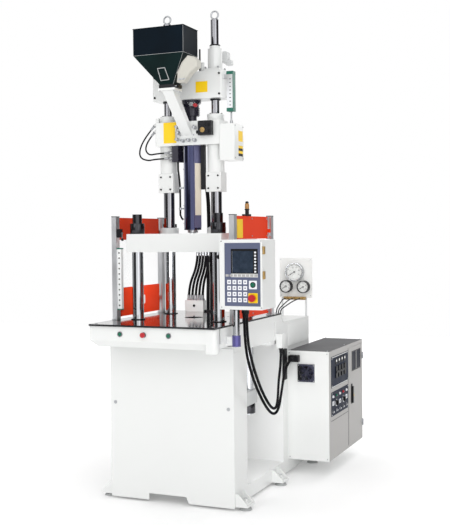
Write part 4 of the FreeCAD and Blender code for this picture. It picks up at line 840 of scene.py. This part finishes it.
def trim_injection():
    screws("collar_screws", "carriage", 5, oxide,
           grid((-rod_x - 30, -rod_x + 30, rod_x - 30, rod_x + 30), (272,), (1770, 1842), FRONT))
    screws("head_screws", "carriage", 5, oxide,
           circle(-rod_x, 2195, 37, 6, UP) + circle(rod_x, 2195, 37, 6, UP))
    screws("rod_foot_screws", "platen", 4, steel,
           circle(-rod_x, 1545, 44, 6, UP) + circle(rod_x, 1545, 44, 6, UP))
    nuts = Piece("cylinder_nuts")
    for (x, y, z), way in grid((-rod_x - 39, -rod_x + 39, rod_x - 39, rod_x + 39), (clamp_y - 48, clamp_y + 48),
                               (2452,), UP):
        nuts.hexagon((x, y, z), way, 12, 7, steel)
        nuts.lathe((x, y, z + 7), way, [(4, 0), (4, 4), (3, 5)], steel, 16)
    nuts.make("crosshead")
    wipers = Piece("rod_wipers")
    for sx in (-1, 1):
        for z, way in ((2283, -1), (2584, 1)):
            wipers.lathe((sx * rod_x, clamp_y, z), (0, 0, way),
                         [(31, 0), (31, 5), (27.5, 9), (24.6, 9), (24.6, 0)], oxide, caps=False)
    wipers.make("crosshead", bevel=0)
    studs = Piece("crosshead_studs")
    for x in (21, 73):
        studs.lathe((x, clamp_y, 2438), UP, [(17, 0), (17, 8), (12, 9), (12, 56), (9, 60)], white, 24)
    studs.lathe((52, 324, 2438), UP, [(9, 0), (9, 5), (5, 6), (5, 138), (3.5, 140)], oxide, 16)
    studs.make("crosshead")
    screws("crosshead_screws", "crosshead", 6, oxide,
           grid((-205, 205), (face_y,), (2303, 2418), FRONT))
    screws("junction_screws", "carriage", 3.4, steel, grid((297,), (256, 372), (1937, 2119), RIGHT))
    tag("carriage_plate_yellow", "carriage", (-151, -68, 248.8, face_y, 2036, 2156), yellow, 0.3)
    tag("crosshead_plate_yellow", "crosshead", (58, 132, 248.8, face_y, 2317, 2379), yellow, 0.3)
    plates = Piece("junction_plates")
    plates.box(297, 298, 306, 368, 2034, 2094, yellow)
    for k in range(4):
        plates.box(297, 298, 306, 368, 1950 + 15 * k, 1965 + 15 * k, yellow if k % 2 else plastic)
    plates.make("carriage", bevel=0.2)
    tag("guard_plate_yellow", "door_right", (guard_x, 366, 107, 191, 1484, 1588), yellow, 0.2)
    valve = Piece("valve_face")
    valve.lathe((112, 216, 2100), FRONT, [(15, 0), (15, 3), (11, 5), (6, 5), (6, 9), (4, 10)], brass)
    valve.hexagon((146, 216, 2092), FRONT, 16, 9, oxide)
    valve.hexagon((146, 216, 2128), FRONT, 16, 9, oxide)
    valve.box(92, 134, 212, 216, 2124, 2144, oxide)
    valve.make("carriage")
    fittings = Piece("coolant_fittings")
    for x, z in ((-58, 2126), (-52, 2092), (-58, 2054), (-22, 2046), (14, 2048), (52, 2118), (52, 2046)):
        fittings.hexagon((x, face_y, z), FRONT, 20, 12, steel)
        fittings.lathe((x, 238, z), FRONT, [(7, 0), (7, 12), (9, 14), (9, 18), (6, 20)], steel, 20)
    fittings.sweep([Vector((-58, y, z)) for y, z in ((226, 2060), (223, 2075), (223, 2105), (226, 2120))],
                   5, steel)
    fittings.make("carriage")
    tube = Piece("heater_conduit")
    tube.sweep([Vector(p) for p in ((-70, 272, 1930), (-70, 272, 1880), (-66, 276, 1840), (-62, 279, 1780),
                                    (-62, 279, 1620), (-56, 285, 1600), (-48, 290, 1592))], 5.5, rubber)
    for z in (1650, 1770):
        tube.lathe((-62, 279, z), UP, [(8, 0), (8, 12), (5.6, 12), (5.6, 0)], steel, 20, caps=False)
        tube.box(-60, -40, 280, 292, z + 2, z + 10, steel)
    tube.make("carriage", bevel=0)
    edge = Piece("shield_seam")
    a = radians(215)
    for k in range(5):
        edge.cap_screw((50 * cos(a), clamp_y + 50 * sin(a), 1570 + 105 * k), (cos(a), sin(a), 0), 3.5, steel)
    edge.box(-2, 2, 262.5, 266.3, 1540, 2016, alloy, Matrix.Rotation(radians(-38), 3, "Z"),
             (0, clamp_y, 1778))
    edge.make("carriage", bevel=0)
    motor = Piece("motor_fittings")
    motor.lathe((52, 262, 2247), FRONT, [(11, 0), (11, 16), (8, 20)], button_red, 20)
    motor.hexagon((30, 254, 2253), FRONT, 24, 14, steel)
    motor.hexagon((-30, 254, 2253), FRONT, 24, 14, steel)
    for place, way in circle(0, 2267, 51, 8, DOWN):
        motor.cap_screw(place, way, 3.6, steel)
    motor.make("crosshead", bevel=0.3)
    caps = Piece("transducer_caps")
    for z0, z1 in ((2202, 2222), (2412, 2430)):
        caps.box(238.5, 279.5, 274.5, 313.5, z0, z1, cap_green)
    caps.box(276, 279, 274.8, 313.2, 2222, 2412, cap_green)
    for k in range(8):
        caps.box(256, 266, 275.2, 276.2, 2236 + 21 * k, 2240 + 21 * k, oxide)
    caps.make("crosshead", bevel=0.6)


def cone_front(z):
    """Y of the hopper cone's front face at a height."""
    return neck_front - (neck_front - mouth_front) * (z - hopper_neck) / (hopper_knee - hopper_neck)


def trim_hopper():
    # Grey beads along the hopper's corners and fold: painted highlights where its edges catch light.
    lines = Piece("hopper_edge_highlights")
    left, right, front, back = mouth_left, mouth_right, mouth_front, mouth_back
    knee, rim = hopper_knee, 2655
    for a, b in (((right, front, knee), (right, front, rim)), ((left, front, knee), (right, front, knee)),
                 ((right, front, knee), (neck_right, neck_front, hopper_neck)),
                 ((left, front, knee), (left, front, rim)), ((right, back, knee), (right, back, rim)),
                 ((right, front, knee), (right, back, knee))):
        lines.bar(a, b, 0.9, grey)
    lines.make("carriage", bevel=0)
    window = Piece("hopper_window_frame")
    corners = [(-77, 2432), (-32, 2434), (-17, 2370), (-68, 2368)]
    for (x0, z0), (x1, z1) in zip(corners, corners[1:] + corners[:1]):
        window.bar((x0, cone_front(z0) - 1.5, z0), (x1, cone_front(z1) - 1.5, z1), 2.4, grey)
    window.make("carriage", bevel=0)
    screws("chute_screws", "carriage", 4, steel,
           grid((-81, 5), (72, 152), (2314,), DOWN) + grid((-42, 42), (face_y,), (2078, 2132), FRONT))
    spout = Piece("spout_clamp")
    spout.box(62, 104, 10, 16, 2356, 2362, steel)
    spout.cap_screw((72, 10, 2359), FRONT, 3, steel)
    spout.cap_screw((95, 10, 2359), FRONT, 3, steel)
    spout.make("carriage", bevel=0.3)


def trim_guards():
    rail = Piece("rail_marks")
    for k in range(11):
        rail.lathe((-337, 38, 1104 + 30 * k), FRONT, [(4.5, 0), (4.5, 1.6), (3.5, 2.2)], oxide, 16)
    rail.box(-351, -323, 37, 63, 1425, 1432, cap_green)
    rail.box(-351, -323, 37, 63, 1077, 1084, cap_green)
    rail.make("base")
    beacon = Piece("guard_beacon")
    beacon.lathe((363.5, 262, 1606), UP, [(15, 0), (15, 8), (11, 12), (11, 32), (14, 36), (14, 40)], oxide)
    beacon.lathe((363.5, 262, 1646), UP, [(11, 0), (12, 4), (12, 26), (9, 31)], amber)
    beacon.lathe((363.5, 262, 1677), UP, [(9.5, 0), (9.5, 8), (6, 12)], oxide)
    beacon.make("door_right", bevel=0.3)
    for side, s in (("left", -1), ("right", 1)):
        spots = grid((s * guard_x,), (84, 330, 566), (1052, 1184, 1494, 1592), (s, 0, 0))
        screws("guard_screws_" + side, "door_" + side, 4, steel, spots)
    foot = Piece("guard_post_feet")
    for s in (-1, 1):
        for y in (30, 600):
            foot.box(s * guard_x - 19, s * guard_x + 15, y - 3, y + 43, table_top, 1026, alloy)
            foot.box(s * guard_x - 16, s * guard_x + 16, y - 1, y + 41, 1609, 1613, plastic)
    foot.make("base", bevel=0.6)


def trim_base():
    pleats = Piece("rear_pleats")
    for s in (-1, 1):
        for k in range(16):
            y = 877 + 24 * k
            outline = [(s * x, y + dy, 806) for x, dy in ((382, 0), (387, 11), (387, 14), (382, 15))]
            pleats.prism(outline, (0, 0, 136), white)
    pleats.make("base", bevel=0.5)
    duct = Piece("cable_duct")
    duct.box(382, 396, 772, 824, 606, 796, plastic)
    for k in range(8):
        duct.box(396, 398, 776, 820, 616 + 22 * k, 628 + 22 * k, plastic)
    duct.make("base", bevel=0.8)
    spots = []
    for s in (-1, 1):
        spots += grid((s * 382,), (880, 1075, 1278), (120, 520, 745), (s, 0, 0))
    screws("rear_cover_screws", "base", 4, steel, spots)
    screws("back_screws", "base", 4, steel, grid((-366, 0, 366), (1290,), (120, 520, 940), BACK))
    cap = Piece("table_screws")
    for place, way in grid((-350, 350), (-200, 690, 752), (table_top,), UP):
        cap.cap_screw(place, way, 6, steel, height=2.5)
    cap.make("base", bevel=0)
    bolts = Piece("foot_bolts")
    for s in (-1, 1):
        for y in (24, 96, 584, 656, 1202, 1264):
            bolts.hexagon((s * 388, y, 34), UP, 14, 7, steel)
    bolts.make("base", bevel=0.3)
    tag("front_panel_lip", "base", (-381, 381, -1.2, 0, 884, 887), grey, 0.2)


def trim_cabinet():
    meters = Piece("cabinet_meters")
    for k in range(4):
        y = 1000 + 62 * k
        meters.box(switch_x, 654.5, y - 2, y + 36, 686, 722, plastic)
        meters.box(654.5, 655, y + 6, y + 28, 700, 714, dial_white)
    for z in (548, 732):
        meters.box(switch_x, 653.5, 920, 1276, z, z + 5, pale_grey)
    meters.make("base")
    switches = Piece("cabinet_switches")
    for y in (1010, 1170):
        switches.lathe((switch_x, y, 445), RIGHT, [(23, 0), (23, 2.5), (19, 4), (16.5, 4), (16.5, 0)], chrome,
                       40, caps=False)
    for k in range(5):
        y = 940 + 74 * k
        switches.lathe((switch_x, y, 398), RIGHT, [(10, 0), (10, 3), (7, 4), (7, 10), (5, 11)], chrome, 24)
        switches.lathe((switch_x, y, 492), RIGHT, [(9, 0), (9, 3), (6.5, 4), (6.5, 8), (4, 9)],
                       (key_white, button_green, key_white, button_red, key_white)[k], 24)
    for y, z0 in ((946, 436), (1090, 430), (1236, 436)):
        switches.box(switch_x, 656, y - 16, y + 16, z0, z0 + 26, key_white)
        switches.box(656, 660, y - 6, y + 6, z0 + 8, z0 + 18, chrome)
    switches.make("base", bevel=0.5)
    screws("cabinet_panel_screws", "base", 3.2, steel,
           grid((switch_x,), (922, 1274), (378, 512, 560, 726), RIGHT))
    screws("cabinet_roof_screws", "base", 4, steel, grid((396, 636), (884, 1254, 1624), (778,), UP))
    screws("cabinet_front_screws", "base", 3.6, steel, grid((394, 638), (870,), (114, 764), FRONT))
    screws("fan_screws", "base", 3.0, steel, grid((457, 553), (862,), (594, 690), FRONT))
    ribs = Piece("cabinet_side_seam")
    ribs.box(650, 651.2, 1290, 1294, 116, 754, roof_grey)
    ribs.box(650, 651.2, 912, 1284, 340, 343, roof_grey)
    ribs.make("base", bevel=0.2)
    door = Piece("cabinet_door_trim")
    # The window's middle bar takes the same painted shade grey as the door.
    door.box(650, 653, 1478, 1484, 598, 718, grey_and_side_shade)
    for y0, y1, z0, z1 in ((1374, 1588, 592, 598), (1374, 1588, 718, 724), (1374, 1380, 598, 718),
                           (1582, 1588, 598, 718)):
        door.box(650.2, 653, y0, y1, z0, z1, roof_grey)
    door.box(651, 653.4, 1355, 1385, 380, 510, plastic)
    door.prism([(651, 1398, 418), (651, 1434, 418), (651, 1416, 452)], (1.4, 0, 0), yellow)
    door.make("cab_door")
    plug = Piece("cabinet_plug_ribs")
    for k in range(6):
        plug.box(404 + 10 * k, 408 + 10 * k, 833, 868, 750, 752.5, plastic)
    plug.make("base")


# ---------------------------------------------------------------- the scene
for step in (make_camera, make_studio, lay_cords, paint_base, paint_clamp, paint_injection, paint_control,
             paint_cabinet, paint_plain, soften_nodes, trim_control, trim_gauges, trim_injection, trim_hopper,
             trim_guards, trim_base, trim_cabinet):
    step()
ground_plane = Piece("studio_floor")
ground_plane.box(-9000, 9000, -9000, 9000, -20, -0.2, floor_finish())
ground_plane.make(bevel=0)
